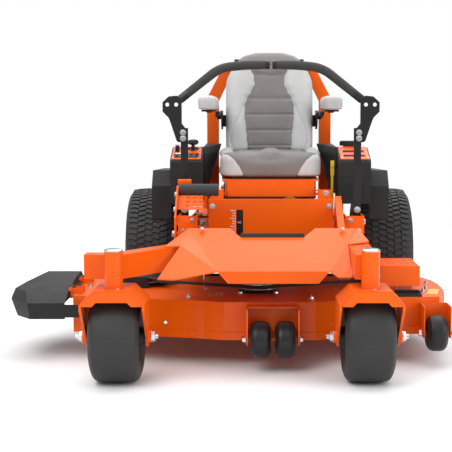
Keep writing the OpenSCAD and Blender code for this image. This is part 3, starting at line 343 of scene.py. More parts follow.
def build_groups():
    number, arrow = "NodeSocketFloat", "NodeSocketVector"

    # Fine moulded or embossed grain, as a normal and as a mask.
    tree, start, end = new_group(
        "surface_grain",
        [("Cells per metre", number, 900.0), ("Depth", number, 0.3), ("Softness", number, 0.5)],
        [("Normal", arrow), ("Mask", number)],
    )
    where = put(tree, "ShaderNodeTexCoord")
    cells = put(tree, "ShaderNodeTexVoronoi", feature="SMOOTH_F1")
    fine = put(tree, "ShaderNodeTexNoise", {"Detail": 3.0, "Roughness": 0.6})
    blend = put(tree, "ShaderNodeMath", operation="MULTIPLY_ADD")
    bump = put(tree, "ShaderNodeBump", {"Distance": 0.0006})
    wire(
        tree,
        (where.outputs["Object"], cells.inputs["Vector"]), (where.outputs["Object"], fine.inputs["Vector"]),
        (
            start.outputs["Cells per metre"], cells.inputs["Scale"]
        ), (start.outputs["Cells per metre"], fine.inputs["Scale"]),
        (start.outputs["Softness"], cells.inputs["Smoothness"]),
        (fine.outputs["Fac"], blend.inputs[0]), (cells.outputs["Distance"], blend.inputs[2]),
        (blend.outputs[0], bump.inputs["Height"]), (start.outputs["Depth"], bump.inputs["Strength"]),
        (bump.outputs["Normal"], end.inputs["Normal"]), (blend.outputs[0], end.inputs["Mask"]),
    )
    blend.inputs[1].default_value = 0.4

    # Slow change of tone over a surface, 0 to 1.
    tree, start, end = new_group(
        "tone_drift", [("Patches per metre", number, 6.0), ("Contrast", number, 0.5)], [("Mask", number)]
    )
    where = put(tree, "ShaderNodeTexCoord")
    cloud = put(tree, "ShaderNodeTexNoise", {"Detail": 4.0, "Roughness": 0.55})
    spread = put(tree, "ShaderNodeMapRange", {"From Min": 0.3, "From Max": 0.7, "To Min": 0.0})
    wire(
        tree,
        (where.outputs["Object"], cloud.inputs["Vector"]), (
            start.outputs["Patches per metre"], cloud.inputs["Scale"]
        ),
        (cloud.outputs["Fac"], spread.inputs["Value"]), (start.outputs["Contrast"], spread.inputs["To Max"]),
        (spread.outputs["Result"], end.inputs["Mask"]),
    )

    # Worn edges with a painted edge highlight: a lighter tone where the rounded normal leaves the flat one.
    tree, start, end = new_group(
        "edge_wear_and_highlight", [
            ("Width", number, 0.002), ("Breakup per metre", number, 60.0), ("Amount", number, 0.6)
        ], [("Mask", number)]
    )
    where = put(tree, "ShaderNodeTexCoord")
    corner = put(tree, "ShaderNodeBevel", samples=4)
    shape = put(tree, "ShaderNodeNewGeometry")
    turn = put(tree, "ShaderNodeVectorMath", operation="DOT_PRODUCT")
    near = put(
        tree, "ShaderNodeMapRange", {"From Min": 0.995, "From Max": 0.86, "To Min": 0.0, "To Max": 1.0}
    )
    edge_breakup = put(tree, "ShaderNodeTexNoise", {"Detail": 5.0, "Roughness": 0.7})
    edge_breakup_mask = put(tree, "ShaderNodeMapRange", {"From Min": 0.42, "From Max": 0.62, "To Min": 0.0, "To Max": 1.0})
    both = put(tree, "ShaderNodeMath", operation="MULTIPLY")
    some = put(tree, "ShaderNodeMath", operation="MULTIPLY", use_clamp=True)
    wire(
        tree,
        (start.outputs["Width"], corner.inputs["Radius"]), (corner.outputs["Normal"], turn.inputs[0]),
        (shape.outputs["Normal"], turn.inputs[1]), (turn.outputs["Value"], near.inputs["Value"]),
        (where.outputs["Object"], edge_breakup.inputs["Vector"]), (
            start.outputs["Breakup per metre"], edge_breakup.inputs["Scale"]
        ),
        (edge_breakup.outputs["Fac"], edge_breakup_mask.inputs["Value"]), (near.outputs["Result"], both.inputs[0]),
        (edge_breakup_mask.outputs["Result"], both.inputs[1]), (both.outputs[0], some.inputs[0]),
        (start.outputs["Amount"], some.inputs[1]), (some.outputs[0], end.inputs["Mask"]),
    )

    # Light dust that lies on what faces up, in patches.
    tree, start, end = new_group(
        "settled_dust", [("Amount", number, 0.3), ("Patches per metre", number, 25.0)], [("Mask", number)]
    )
    where = put(tree, "ShaderNodeTexCoord")
    shape = put(tree, "ShaderNodeNewGeometry")
    split = put(tree, "ShaderNodeSeparateXYZ")
    up = put(tree, "ShaderNodeMapRange", {"From Min": 0.2, "From Max": 1.0, "To Min": 0.15, "To Max": 1.0})
    cloud = put(tree, "ShaderNodeTexNoise", {"Detail": 6.0, "Roughness": 0.65})
    both = put(tree, "ShaderNodeMath", operation="MULTIPLY")
    some = put(tree, "ShaderNodeMath", operation="MULTIPLY", use_clamp=True)
    wire(
        tree,
        (shape.outputs["Normal"], split.inputs["Vector"]), (split.outputs["Z"], up.inputs["Value"]),
        (where.outputs["Object"], cloud.inputs["Vector"]), (
            start.outputs["Patches per metre"], cloud.inputs["Scale"]
        ),
        (up.outputs["Result"], both.inputs[0]), (cloud.outputs["Fac"], both.inputs[1]),
        (both.outputs[0], some.inputs[0]), (start.outputs["Amount"], some.inputs[1]),
        (some.outputs[0], end.inputs["Mask"]),
    )

    # Fine waviness of sprayed paint, as a normal.
    tree, start, end = new_group(
        "orange_peel", [("Bumps per metre", number, 420.0), ("Depth", number, 0.12)], [("Normal", arrow)]
    )
    where = put(tree, "ShaderNodeTexCoord")
    skin = put(tree, "ShaderNodeTexNoise", {"Detail": 1.0, "Roughness": 0.4})
    bump = put(tree, "ShaderNodeBump", {"Distance": 0.0004})
    wire(
        tree,
        (where.outputs["Object"], skin.inputs["Vector"]), (
            start.outputs["Bumps per metre"], skin.inputs["Scale"]
        ),
        (skin.outputs["Fac"], bump.inputs["Height"]), (start.outputs["Depth"], bump.inputs["Strength"]),
        (bump.outputs["Normal"], end.inputs["Normal"]),
    )


def finish_material(
    name, tone, second, roughness, rough_drift=0.08, metallic=0.0, coat=0.0, coat_roughness=0.2,
    grain=None, peel=None, wear_and_highlight=None, wear_and_highlight_tone=(0.5, 0.5, 0.5), dust=0.0, patches=6.0,
    sheen=0.0, specular=0.5,
):
    """A material whose tone and gloss drift between two values; grain, edge wear with a painted edge highlight, and
    dust where asked.
    """
    plain = bpy.data.materials.get(name)
    if plain:
        bpy.data.materials.remove(plain)
    material = bpy.data.materials.new(name)
    material.use_nodes = True
    tree = material.node_tree
    tree.nodes.clear()
    out = put(tree, "ShaderNodeOutputMaterial")
    shader = put(tree, "ShaderNodeBsdfPrincipled", {
        "Metallic": metallic, "Coat Weight": coat, "Coat Roughness": coat_roughness,
        "Sheen Weight": sheen, "Specular IOR Level": specular,
    })
    wire(tree, (shader.outputs["BSDF"], out.inputs["Surface"]))
    material.diffuse_color = (*tone, 1)

    def group(label, values):
        node = put(tree, "ShaderNodeGroup", node_tree=bpy.data.node_groups[label])
        for socket, value in values.items():
            node.inputs[socket].default_value = value
        return node

    drift = group("tone_drift", {"Patches per metre": patches, "Contrast": 1.0})
    colour = put(tree, "ShaderNodeMix", data_type="RGBA")
    colour.inputs["A"].default_value = (*tone, 1)
    colour.inputs["B"].default_value = (*second, 1)
    wire(tree, (drift.outputs["Mask"], colour.inputs["Factor"]))
    last = colour.outputs["Result"]
    gloss = put(
        tree, "ShaderNodeMapRange", {"To Min": roughness - rough_drift, "To Max": roughness + rough_drift}
    )
    wire(
        tree, (drift.outputs["Mask"], gloss.inputs["Value"]),
        (gloss.outputs["Result"], shader.inputs["Roughness"])
    )
    if dust:
        dusty = group("settled_dust", {"Amount": dust, "Patches per metre": 25.0})
        mix = put(tree, "ShaderNodeMix", data_type="RGBA")
        mix.inputs["B"].default_value = (0.32, 0.28, 0.22, 1)
        wire(tree, (dusty.outputs["Mask"], mix.inputs["Factor"]), (last, mix.inputs["A"]))
        last = mix.outputs["Result"]
    # Lighter tone on the edges: wear and a painted edge highlight.
    if wear_and_highlight:
        wear_and_highlight_node = group("edge_wear_and_highlight", {"Width": wear_and_highlight[0], "Breakup per metre": 70.0, "Amount": wear_and_highlight[1]})
        mix = put(tree, "ShaderNodeMix", data_type="RGBA")
        mix.inputs["B"].default_value = (*wear_and_highlight_tone, 1)
        wire(tree, (wear_and_highlight_node.outputs["Mask"], mix.inputs["Factor"]), (last, mix.inputs["A"]))
        last = mix.outputs["Result"]
    wire(tree, (last, shader.inputs["Base Color"]))
    if grain:
        skin = group("surface_grain", {"Cells per metre": grain[0], "Depth": grain[1], "Softness": 0.4})
        wire(tree, (skin.outputs["Normal"], shader.inputs["Normal"]))
    elif peel:
        skin = group("orange_peel", {"Bumps per metre": peel[0], "Depth": peel[1]})
        wire(tree, (skin.outputs["Normal"], shader.inputs["Normal"]))
    return material


def brushed_material(name, tone, second, roughness, direction, lines=900.0):
    """Metal with fine lines drawn along one direction."""
    material = finish_material(name, tone, second, roughness, metallic=1.0, rough_drift=0.06)
    tree = material.node_tree
    shader = next(n for n in tree.nodes if n.type == "BSDF_PRINCIPLED")
    where = put(tree, "ShaderNodeTexCoord")
    stretch = put(tree, "ShaderNodeMapping")
    stretch.inputs["Scale"].default_value = direction
    scratch = put(tree, "ShaderNodeTexNoise", {"Scale": lines, "Detail": 4.0, "Roughness": 0.7})
    bump = put(tree, "ShaderNodeBump", {"Strength": 0.12, "Distance": 0.0003})
    wire(
        tree,
        (where.outputs["Object"], stretch.inputs["Vector"]), (
            stretch.outputs["Vector"], scratch.inputs["Vector"]
        ),
        (scratch.outputs["Fac"], bump.inputs["Height"]), (bump.outputs["Normal"], shader.inputs["Normal"]),
    )
    return material


def build_materials(look):
    orange = tuple(look.orange)
    deep = tuple(c * 0.86 for c in orange)
    # The lighter orange on the edges is wear and a painted edge highlight.
    finish_material(
        "orange_paint", orange, deep, 0.36, coat=0.1, coat_roughness=0.2, specular=0.22, peel=(420.0, 0.1),
        wear_and_highlight=(0.0016, 0.25), wear_and_highlight_tone=tuple(min(1.0, c * 1.1 + 0.08) for c in orange), patches=3.0,
    )
    plastic = tuple(look.plastic)
    # The lighter edge tone is wear and a painted edge highlight.
    finish_material(
        "charcoal_plastic", plastic, tuple(c * 0.8 for c in plastic), 0.5, grain=(1400.0, 0.22),
        wear_and_highlight=(0.0014, 0.3), wear_and_highlight_tone=tuple(c * 1.9 for c in plastic), dust=0.01, specular=0.22
    )
    black = tuple(look.black)
    finish_material(
        "black_plastic", black, tuple(c * 0.7 for c in black), 0.42, grain=(1300.0, 0.18), dust=0.01,
        specular=0.35
    )
    # The grey edge tone is wear and a painted edge highlight.
    finish_material(
        "black_steel", tuple(c * 0.8 for c in black), black, 0.3, specular=0.35, coat=0.12,
        coat_roughness=0.15, peel=(380.0, 0.12), wear_and_highlight=(0.0012, 0.25), wear_and_highlight_tone=(0.16, 0.16, 0.17)
    )
    finish_material(
        "foam_rubber", (0.016, 0.016, 0.017), (0.026, 0.026, 0.027), 0.72, grain=(1900.0, 0.55), sheen=0.15
    )
    finish_material(
        "rubber", (0.022, 0.022, 0.023), (0.034, 0.034, 0.035), 0.6, grain=(900.0, 0.3), dust=0.015,
        specular=0.3
    )
    # The lighter edge tone on the tread is wear and a painted edge highlight.
    finish_material(
        "tyre", (0.021, 0.021, 0.022), (0.033, 0.032, 0.032), 0.58, grain=(700.0, 0.35), dust=0.03,
        wear_and_highlight=(0.0018, 0.35), wear_and_highlight_tone=(0.06, 0.058, 0.056), specular=0.35
    )
    light = tuple(look.seat_light)
    dark = tuple(look.seat_dark)
    finish_material(
        "light_vinyl", light, tuple(c * 0.9 for c in light), 0.5, grain=(520.0, 0.42), sheen=0.08, patches=9.0
    )
    finish_material(
        "grey_vinyl", dark, tuple(c * 0.86 for c in dark), 0.52, grain=(520.0, 0.45), sheen=0.08, patches=9.0
    )
    finish_material("yellow_plastic", (0.82, 0.62, 0.02), (0.72, 0.53, 0.02), 0.38, coat=0.1)
    finish_material("label_yellow", (0.8, 0.56, 0.02), (0.74, 0.52, 0.02), 0.32, coat=0.3)
    finish_material("label_dark", (0.03, 0.03, 0.03), (0.045, 0.045, 0.045), 0.35, coat=0.3)
    finish_material("label_pale", (0.72, 0.72, 0.7), (0.66, 0.66, 0.64), 0.35, coat=0.3)
    finish_material("red_plastic", (0.5, 0.02, 0.015), (0.42, 0.018, 0.012), 0.35, coat=0.2)
    brushed_material("bare_steel", (0.46, 0.46, 0.47), (0.36, 0.36, 0.37), 0.32, (1.0, 1.0, 0.05))
    brushed_material("zinc", (0.68, 0.69, 0.7), (0.56, 0.57, 0.58), 0.24, (1.0, 1.0, 0.2))
    finish_material(
        "engine_cast", (0.36, 0.365, 0.37), (0.27, 0.275, 0.28), 0.46, metallic=0.85, grain=(520.0, 0.35),
        dust=0.05
    )
    finish_material(
        "hot_steel", (0.3, 0.27, 0.24), (0.18, 0.17, 0.17), 0.42, metallic=0.9, grain=(700.0, 0.15)
    )

# ---------------------------------------------------------------- sizes and colours that a user would change
class MowerLook(bpy.types.PropertyGroup):
    """Colours and visible sizes of the mower."""

    orange: bpy.props.FloatVectorProperty(
        name="Orange paint", description="Paint of the frame, the deck and the guards", subtype="COLOR",
        size=3, min=0.0, max=1.0, default=(0.83, 0.108, 0.0),
    )
    plastic: bpy.props.FloatVectorProperty(
        name="Console plastic", description="Moulded consoles, fenders and rims", subtype="COLOR",
        size=3, min=0.0, max=1.0, default=(0.022, 0.0222, 0.0228),
    )
    black: bpy.props.FloatVectorProperty(
        name="Black parts", description="Levers, covers and brackets", subtype="COLOR",
        size=3, min=0.0, max=1.0, default=(0.012, 0.012, 0.013),
    )
    seat_light: bpy.props.FloatVectorProperty(
        name="Light vinyl", description="Bolsters, front corners and armrests", subtype="COLOR",
        size=3, min=0.0, max=1.0, default=(0.49, 0.5, 0.495),
    )
    seat_dark: bpy.props.FloatVectorProperty(
        name="Dark vinyl", description="Middle of the seat and the headrest", subtype="COLOR",
        size=3, min=0.0, max=1.0, default=(0.185, 0.172, 0.166),
    )
    lug_height: bpy.props.FloatProperty(
        name="Lug height", description="Height of the rear tyres' tread blocks", unit="LENGTH",
        default=0.007, min=0.003, max=0.012,
    )
    lug_pitch: bpy.props.FloatProperty(
        name="Lug pitch", description="Distance between tread blocks round the rear tyre", unit="LENGTH",
        default=0.026, min=0.02, max=0.04,
    )
    pad_swell: bpy.props.FloatProperty(
        name="Pad swell", description="The most that the padding swells between its seams", unit="LENGTH",
        default=0.016, min=0.0, max=0.03,
    )
    foam_wall: bpy.props.FloatProperty(
        name="Foam wall", description="How far the foam sleeves stand out from their bars", unit="LENGTH",
        default=0.001, min=0.0005, max=0.003,
    )


def look():
    return bpy.context.scene.mower_look


def mm(metres):
    return metres * 1000


# ---------------------------------------------------------------- finishes
class MOWER_OT_finishes(bpy.types.Operator):
    """Makes the finishes and paints the carried-over frame parts"""

    bl_idname = "mower.finishes"
    bl_label = "Finishes"

    def execute(self, context):
        build_groups()
        build_materials(look())
        finish_of = {"seat_vinyl": "grey_vinyl", "arm_vinyl": "light_vinyl"}
        for part in frame["record"]["subparts"]:
            finish = finish_of.get(part["material_slot"], part["material_slot"])
            obj = frame["nodes"][part["node"]]
            obj.data.materials.clear()
            obj.data.materials.append(bpy.data.materials[finish])
        return {"FINISHED"}


# ---------------------------------------------------------------- wheels
def tread_radius(along, radius, half):
    """Radius of a tyre's crown at a distance from its middle."""
    return radius - 5 * (abs(along) / half) ** 2.4


class MOWER_OT_rear_tyres(bpy.types.Operator):
    """Wide drive tyres with staggered turf blocks and ringed sidewalls"""

    bl_idname = "mower.rear_tyres"
    bl_label = "Rear tyres"

    def execute(self, context):
        for side, name in ((1, "left"), (-1, "right")):
            low, high = part_box("rear_tyre_" + name)
            centre = (low + high) / 2
            radius = (high.z - low.z) / 2
            half = (high.x - low.x) / 2
            lug = mm(look().lug_height)
            floor = radius - lug
            crown = half - 22
            tyre = Part()
            outer = [(x, tread_radius(x, floor, crown)) for x in (0, 30, 60, 80, crown)]
            sidewall = [
                (14, 11), (6, 22), (2, 36), (3.4, 38), (3.4, 42), (1, 44), (0.4, 58),
                (3, 76), (6, 88), (4, 90), (5.5, 96), (12, 108),
            ]
            outer += [(half - inset, floor - drop) for inset, drop in sidewall]
            outer += [(half - 19, 153.5), (half - 24, 152.2)]
            inner = [(half - 40, 166), (0, 176)]
            profile = outer + inner
            profile += [(-x, r) for x, r in reversed(profile[1:-1])]
            tyre.lathe("x", centre, profile, 120)
            count = round(2 * math.pi * radius / mm(look().lug_pitch))
            columns = [-78, -47, -16, 16, 47, 78]
            for row, across in enumerate(columns):
                for k in range(count):
                    turn = 2 * math.pi * (k + (row % 2) * 0.5 + row * 0.12) / count
                    edge = 24 if abs(across) > 70 else 14.6
                    lean = 1 if row % 2 else -1
                    outline = [
                        (-14.6, -10.4), (-3, -10.4 + 0.8), (3, -6.2), (edge, -5.6), (edge, 9.6), (3, 10.0),
                        (-3, 6.4), (-14.6, 5.8)
                    ]
                    if across < 0:
                        outline = [(-a, b) for a, b in reversed(outline)]
                    verts = []
                    for top in (False, True):
                        for a, b in outline:
                            shrink = 0.93 if top else 1.0
                            x = across + a * shrink
                            r = tread_radius(x, radius if top else floor - 3, crown)
                            if abs(x) > crown:
                                r -= (abs(x) - crown) * 0.9
                            bend = turn + lean * b * shrink / radius
                            verts.append(centre + Vector((x, r * math.cos(bend), r * math.sin(bend))))
                    n = len(outline)
                    faces = [list(range(n))[::-1], list(range(n, 2 * n))]
                    faces += [(i, (i + 1) % n, n + (i + 1) % n, n + i) for i in range(n)]
                    tyre.add(verts, faces)
            tyre.build(
                "rear_tyre_" + name + "_tread", "tyre", "rear_wheel_" + name, "tyre", sharp=34,
                stands_for=["rear_tyre_" + name]
            )
        return {"FINISHED"}


class MOWER_OT_front_tyres(bpy.types.Operator):
    """Smooth caster tyres with rounded shoulders and ringed sidewalls"""

    bl_idname = "mower.front_tyres"
    bl_label = "Front tyres"

    def execute(self, context):
        for name in ("left", "right"):
            low, high = part_box("front_tyre_" + name)
            centre = (low + high) / 2
            radius = (high.z - low.z) / 2
            half = (high.x - low.x) / 2
            outer = [(0, radius), (24, radius - 0.6), (46, radius - 2.6)]
            outer += [
                (half - 28 + 26 * math.sin(a), radius - 4 - 36 * (1 - math.cos(a)))
                for a in (0.15, 0.35, 0.55, 0.75, 0.95, 1.15, 1.35)
            ]
            sidewall = [(0.8, 36), (1.6, 37), (1.6, 40), (0.8, 41), (4, 52), (9, 60), (8, 62), (14, 68)]
            outer += [(half - inset, radius - drop) for inset, drop in sidewall]
            outer += [(half - 22, 82), (half - 26, 80.2)]
            profile = outer + [(half - 42, 93), (0, 104)]
            profile += [(-x, r) for x, r in reversed(profile[1:-1])]
            tyre = Part().lathe("x", centre, profile, 96)
            tyre.build(
                "front_tyre_" + name + "_smooth", "tyre", "front_wheel_" + name, "tyre", sharp=42,
                stands_for=["front_tyre_" + name]
            )
        return {"FINISHED"}


class MOWER_OT_wheel_trim(bpy.types.Operator):
    """Nuts, hub caps, washers and valves of the four wheels"""

    bl_idname = "mower.wheel_trim"
    bl_label = "Wheel trim"

    def execute(self, context):
        for side, name in ((1, "left"), (-1, "right")):
            low, high = part_box("rear_tyre_" + name)
            centre = (low + high) / 2
            face = centre.x + side * (-(high.x - low.x) / 2 + 15 + 60)
            nuts = Part()
            nut_circle = 38
            for k in range(5):
                turn = math.radians(72 * k)
                y, z = centre.y - nut_circle * math.sin(turn), centre.z + nut_circle * math.cos(turn)
                nuts.bolt("x", 11, face, face + side * 15, y, z, washer=13.5)
                nuts.rod("x", 5, face + side * 14, face + side * 19, y, z)
            nuts.build("wheel_nuts_" + name, "zinc", "rear_wheel_" + name, "zinc")
            cap = Part().lathe("x", (face, centre.y, centre.z), [
                (side * 0.5, 0), (side * 0.5, 25), (side * 12, 24), (side * 16, 21), (side * 18, 12), (side * 18.5, 0)
            ], 40)
            cap.build("hub_cap_" + name, "black_plastic", "rear_wheel_" + name, "black_plastic")
            valve_z = centre.z + 118
            valve = Part().rod("x", 4, face + side * 14, face + side * 42, centre.y, valve_z)
            valve.rod("x", 5.4, face + side * 36, face + side * 46, centre.y, valve_z)
            valve.build("valve_" + name, "rubber", "rear_wheel_" + name, "rubber")
            low, high = part_box("front_tyre_" + name)
            centre = (low + high) / 2
            ends = Part()
            for way in (1, -1):
                ends.bolt(
                    "x", 17, centre.x + way * 114.5, centre.x + way * 128, centre.y, centre.z, washer=20
                )
                ends.rod("x", 8, centre.x + way * 127, centre.x + way * 137, centre.y, centre.z)
            ends.build("front_axle_nuts_" + name, "zinc", "caster_" + name, "zinc")
            cover = Part()
            for way in (1, -1):
                cover.lathe("x", (centre.x, centre.y, centre.z), [
                    (way * 60.5, 78), (way * 64, 76), (way * 60, 52), (way * 68, 38), (way * 90, 34), (way * 90, 27),
                    (way * 62, 27), (way * 52, 40), (way * 50, 76),
                ], 56)
            cover.build(
                "front_rim_cover_" + name, "charcoal_plastic", "front_wheel_" + name, "charcoal_plastic"
            )
        return {"FINISHED"}


# ---------------------------------------------------------------- padding
def pad_mesh(name, rings, cell):
    """A closed form from rings of points, rebuilt with even cells."""
    form = Part()
    n = len(rings[0])
    form.add([p for ring in rings for p in ring], [
        (r * n + k, r * n + (k + 1) % n, (r + 1) * n + (k + 1) % n, (r + 1) * n + k)
        for r in range(len(rings) - 1) for k in range(n)
    ] + [list(range(n))[::-1], [(len(rings) - 1) * n + k for k in range(n)]])
    mesh = bpy.data.meshes.new(name)
    mesh.from_pydata([at(*v) for v in form.verts], [], form.faces)
    work = bmesh.new()
    work.from_mesh(mesh)
    bmesh.ops.recalc_face_normals(work, faces=work.faces)
    work.to_mesh(mesh)
    work.free()
    obj = bpy.data.objects.new(name, mesh)
    bpy.context.scene.collection.objects.link(obj)
    even = obj.modifiers.new("even_cells", "REMESH")
    even.mode = "VOXEL"
    even.voxel_size = cell
    settle(obj)
    return obj


def settle(obj):
    """Applies the modifiers to the mesh."""
    graph = bpy.context.evaluated_depsgraph_get()
    graph.update()
    mesh = bpy.data.meshes.new_from_object(obj.evaluated_get(graph))
    obj.modifiers.clear()
    obj.data = mesh


def swell(obj, held, most):
    """Lets the padding swell between the points that held() keeps, by no more than most."""
    mesh = obj.data
    rest = [v.co.copy() for v in mesh.vertices]
    hold = [held(from_axle(p)) for p in rest]
    group = obj.vertex_groups.new(name="held")
    for i, weight in enumerate(hold):
        if weight > 0.02:
            group.add([i], weight, "REPLACE")
    cloth = obj.modifiers.new("padding", "CLOTH")
    cloth.settings.quality = 4
    cloth.settings.mass = 0.25
    cloth.settings.use_pressure = True
    cloth.settings.uniform_pressure_force = 4.0
    cloth.settings.effector_weights.gravity = 0.0
    cloth.settings.tension_stiffness = 12.0
    cloth.settings.compression_stiffness = 12.0
    cloth.settings.shear_stiffness = 6.0
    cloth.settings.bending_stiffness = 1.2
    cloth.settings.vertex_group_mass = "held"
    cloth.collision_settings.use_collision = False
    cloth.point_cache.frame_start = 1
    cloth.point_cache.frame_end = 20
    scene = bpy.context.scene
    for step in range(1, 21):
        scene.frame_set(step)
    graph = bpy.context.evaluated_depsgraph_get()
    moved = [v.co.copy() for v in obj.evaluated_get(graph).data.vertices]
    obj.modifiers.clear()
    scene.frame_set(1)
    group = obj.vertex_groups.get("held")
    obj.vertex_groups.remove(group)
    for v, start, end in zip(mesh.vertices, rest, moved):
        step = end - start
        if step.length > most:
            step = step.normalized() * most
        v.co = start + step
    mesh.update()


def press_seams(obj, depth_at):
    """Draws the seams in along the surface's own normals."""
    mesh = obj.data
    normals = [v.normal.copy() for v in mesh.vertices]
    for v, normal in zip(mesh.vertices, normals):
        v.co -= normal * depth_at(from_axle(v.co), normal) / 1000
    mesh.update()


def finish_pad(obj, body, finishes, pick, stands_for):
    mesh = obj.data
    for finish in finishes:
        mesh.materials.append(bpy.data.materials[finish])
    for face in mesh.polygons:
        face.use_smooth = True
    smooth = obj.modifiers.new("smooth", "SUBSURF")
    smooth.levels = smooth.render_levels = 1
    settle(obj)
    for face in obj.data.polygons:
        face.use_smooth = True
        face.material_index = pick(from_axle(face.center))
    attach(obj, body)
    if stands_for:
        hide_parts(*stands_for)
    return obj


def round_ring(half_x, front, back, corner, z, middle_x=0.0, steps=7):
    """A level ring with rounded corners."""
    corner = min(corner, half_x * 0.98, (back - front) * 0.49)
    ring = []
    for cx, cy, start in ((1, 1, 0), (-1, 1, 90), (-1, -1, 180), (1, -1, 270)):
        x = middle_x + cx * (half_x - corner)
        y = (back - corner) if cy > 0 else (front + corner)
        ring += [(a, b, z) for a, b in arc((x, y), corner, start, start + 90, steps)]
    return ring


PANEL_EDGE = [
    (1090, 92), (1069, 76), (1045, 66), (1012, 64), (980, 78), (951, 95), (919, 105), (882, 105), (817, 99),
    (789, 95), (728, 93)
]
BOLSTER_SEAM = [(925, 107), (915, 111), (866, 129), (833, 148), (801, 164), (769, 166), (741, 154)]
BACK_SEAMS = (951, 884, 817, 752)


def panel_half(z):
    """Half width of the darker middle panel of the seat back at a height."""
    for (z1, x1), (z0, x0) in zip(PANEL_EDGE, PANEL_EDGE[1:]):
        if z >= z0:
            t = max(0.0, min(1.0, (z - z0) / (z1 - z0)))
            return x0 + (x1 - x0) * t * t * (3 - 2 * t)
    return PANEL_EDGE[-1][1]


class MOWER_OT_seat(bpy.types.Operator):
    """Seat cushion and high seat back with bolsters, sewn channels and a headrest"""

    bl_idname = "mower.seat"
    bl_label = "Seat"

    def execute(self, context):
        self.back()
        self.cushion()
        return {"FINISHED"}

    def back(self):
        low, high = part_box("seat_back")
        most = mm(look().pad_swell)
        inset = most * 0.5
        rings = []
        bottom, top = low.z - 22, high.z - inset * 0.6
        for k in range(31):
            t = k / 30
            z = bottom + (top - bottom) * t
            front = -180 + (z - 760) * 0.154
            back = front + 84
            half = high.x - inset - 1
            half -= 58 * smooth_step(1000, top, z) ** 1.2
            drop = top - z
            if drop < 46:
                lean = 1 - math.sqrt(max(0.0, 1 - (1 - drop / 46) ** 2))
                half -= 66 * lean
                front += 24 * lean
                back -= 30 * lean
            rise = z - bottom
            if rise < 24:
                lean = 1 - math.sqrt(max(0.0, 1 - (1 - rise / 24) ** 2))
                half -= 14 * lean
                front += 14 * lean
                back -= 12 * lean
            rings.append(round_ring(half, front + inset * 0.4, back - 2, 34, z))
        obj = pad_mesh("seat_back_pad", rings, 0.006)

        def bowl(point, normal):
            """Hollows the middle panel and lets the bolsters stand forward."""
            if normal.y > -0.2:
                return 0.0
            inside = 1 - smooth_step(panel_half(point.z) - 26, panel_half(point.z) + 34, abs(point.x))
            fade = 1 - smooth_step(1045, 1095, point.z)
            return 15 * inside * fade

        press_seams(obj, bowl)

        def to_seam(point):
            flat = (point.z, abs(point.x))
            best = min(gap_to_line(flat, PANEL_EDGE), gap_to_line(flat, BOLSTER_SEAM))
            if abs(point.x) < panel_half(point.z):
                best = min([best] + [abs(point.z - seam) for seam in BACK_SEAMS])
            return min(best, abs(point.z - 1090)) if abs(point.x) < 190 else best

        def held(point):
            behind = point.y > -180 + (point.z - 760) * 0.154 + 52
            return 1.0 if behind else 1 - smooth_step(2, 16, to_seam(point))

        swell(obj, held, most / 1000)

        def groove(point, normal):
            if normal.y > -0.15:
                return 0.0
            return 4.5 * (1 - smooth_step(0, 7, to_seam(point)))

        press_seams(obj, groove)

        def pick(point):
            front = point.y < -180 + (point.z - 760) * 0.154 + 46
            if point.z > 1090:
                return 1
            if not front:
                return 2
            return 1 if abs(point.x) < panel_half(point.z) else 0

        finish_pad(
            obj, "seat", ("light_vinyl", "grey_vinyl", "black_plastic"), pick,
            ["seat_back"]
        )

    def cushion(self):
        low, high = part_box("seat_cushion")
        most = mm(look().pad_swell)
        inset = most * 0.4
        rings = []
        bottom, top = low.z + 1, high.z - inset - 2
        for k in range(21):
            z = bottom + (top - bottom) * k / 20
            half, front, back = high.x - inset - 2, low.y + inset + 2, high.y - 2
            for reach, edge in ((30, top - z), (14, z - bottom)):
                if edge < reach:
                    lean = 1 - math.sqrt(max(0.0, 1 - (1 - edge / reach) ** 2))
                    half -= reach * 0.8 * lean
                    front += reach * 0.8 * lean
                    back -= reach * 0.5 * lean
            rings.append(round_ring(half, front, back, 62, z, steps=9))
        obj = pad_mesh("seat_cushion_pad", rings, 0.006)

        def crown(point, normal):
            """Raises the sides at the rear and a soft ridge in the middle, and lowers the seat pan."""
            if normal.z < 0.3:
                return 0.0
            x = abs(point.x)
            pan = 12 * (1 - smooth_step(96, 158, x)) * smooth_step(-505, -430, point.y)
            ridge = 15 * (1 - smooth_step(12, 52, x)) * smooth_step(-520, -470, point.y) * (
                1 - smooth_step(-400, -330, point.y)
            )
            wing = 15 * smooth_step(140, 172, x) * smooth_step(-390, -240, point.y)
            return pan - ridge - wing

        press_seams(obj, crown)
        corner_line = [(740, 214), (727, 190), (724, 166), (707, 143), (681, 124), (655, 111), (636, 106)]

        def to_seam(point):
            x = abs(point.x)
            if point.y < -470 and point.z < 728:
                return gap_to_line((point.z, x), corner_line)
            if point.z > 690 and point.y > -400:
                return min(abs(x - 152), abs(point.y + 400) + max(0.0, 152 - x))
            return 40.0

        def held(point):
            if point.z < low.z + 12 or point.y > high.y - 12:
                return 1.0
            return 1 - smooth_step(2, 16, to_seam(point))

        swell(obj, held, most / 1000)
        press_seams(obj, lambda point, normal: 4.0 * (1 - smooth_step(0, 7, to_seam(point))))

        def pick(point):
            x = abs(point.x)
            if point.z < low.z + 8:
                return 1
            if point.y > -400 and x > 152:
                return 0
            for (z1, x1), (z0, x0) in zip(corner_line, corner_line[1:]):
                if z0 <= point.z <= z1 and point.y < -330 and point.z < 727:
                    edge = x0 + (x1 - x0) * (point.z - z0) / (z1 - z0)
                    return 0 if x > edge else 1
            return 0 if point.z < 700 and point.y > -330 else 1

        finish_pad(obj, "seat", ("light_vinyl", "grey_vinyl"), pick, ["seat_cushion"])


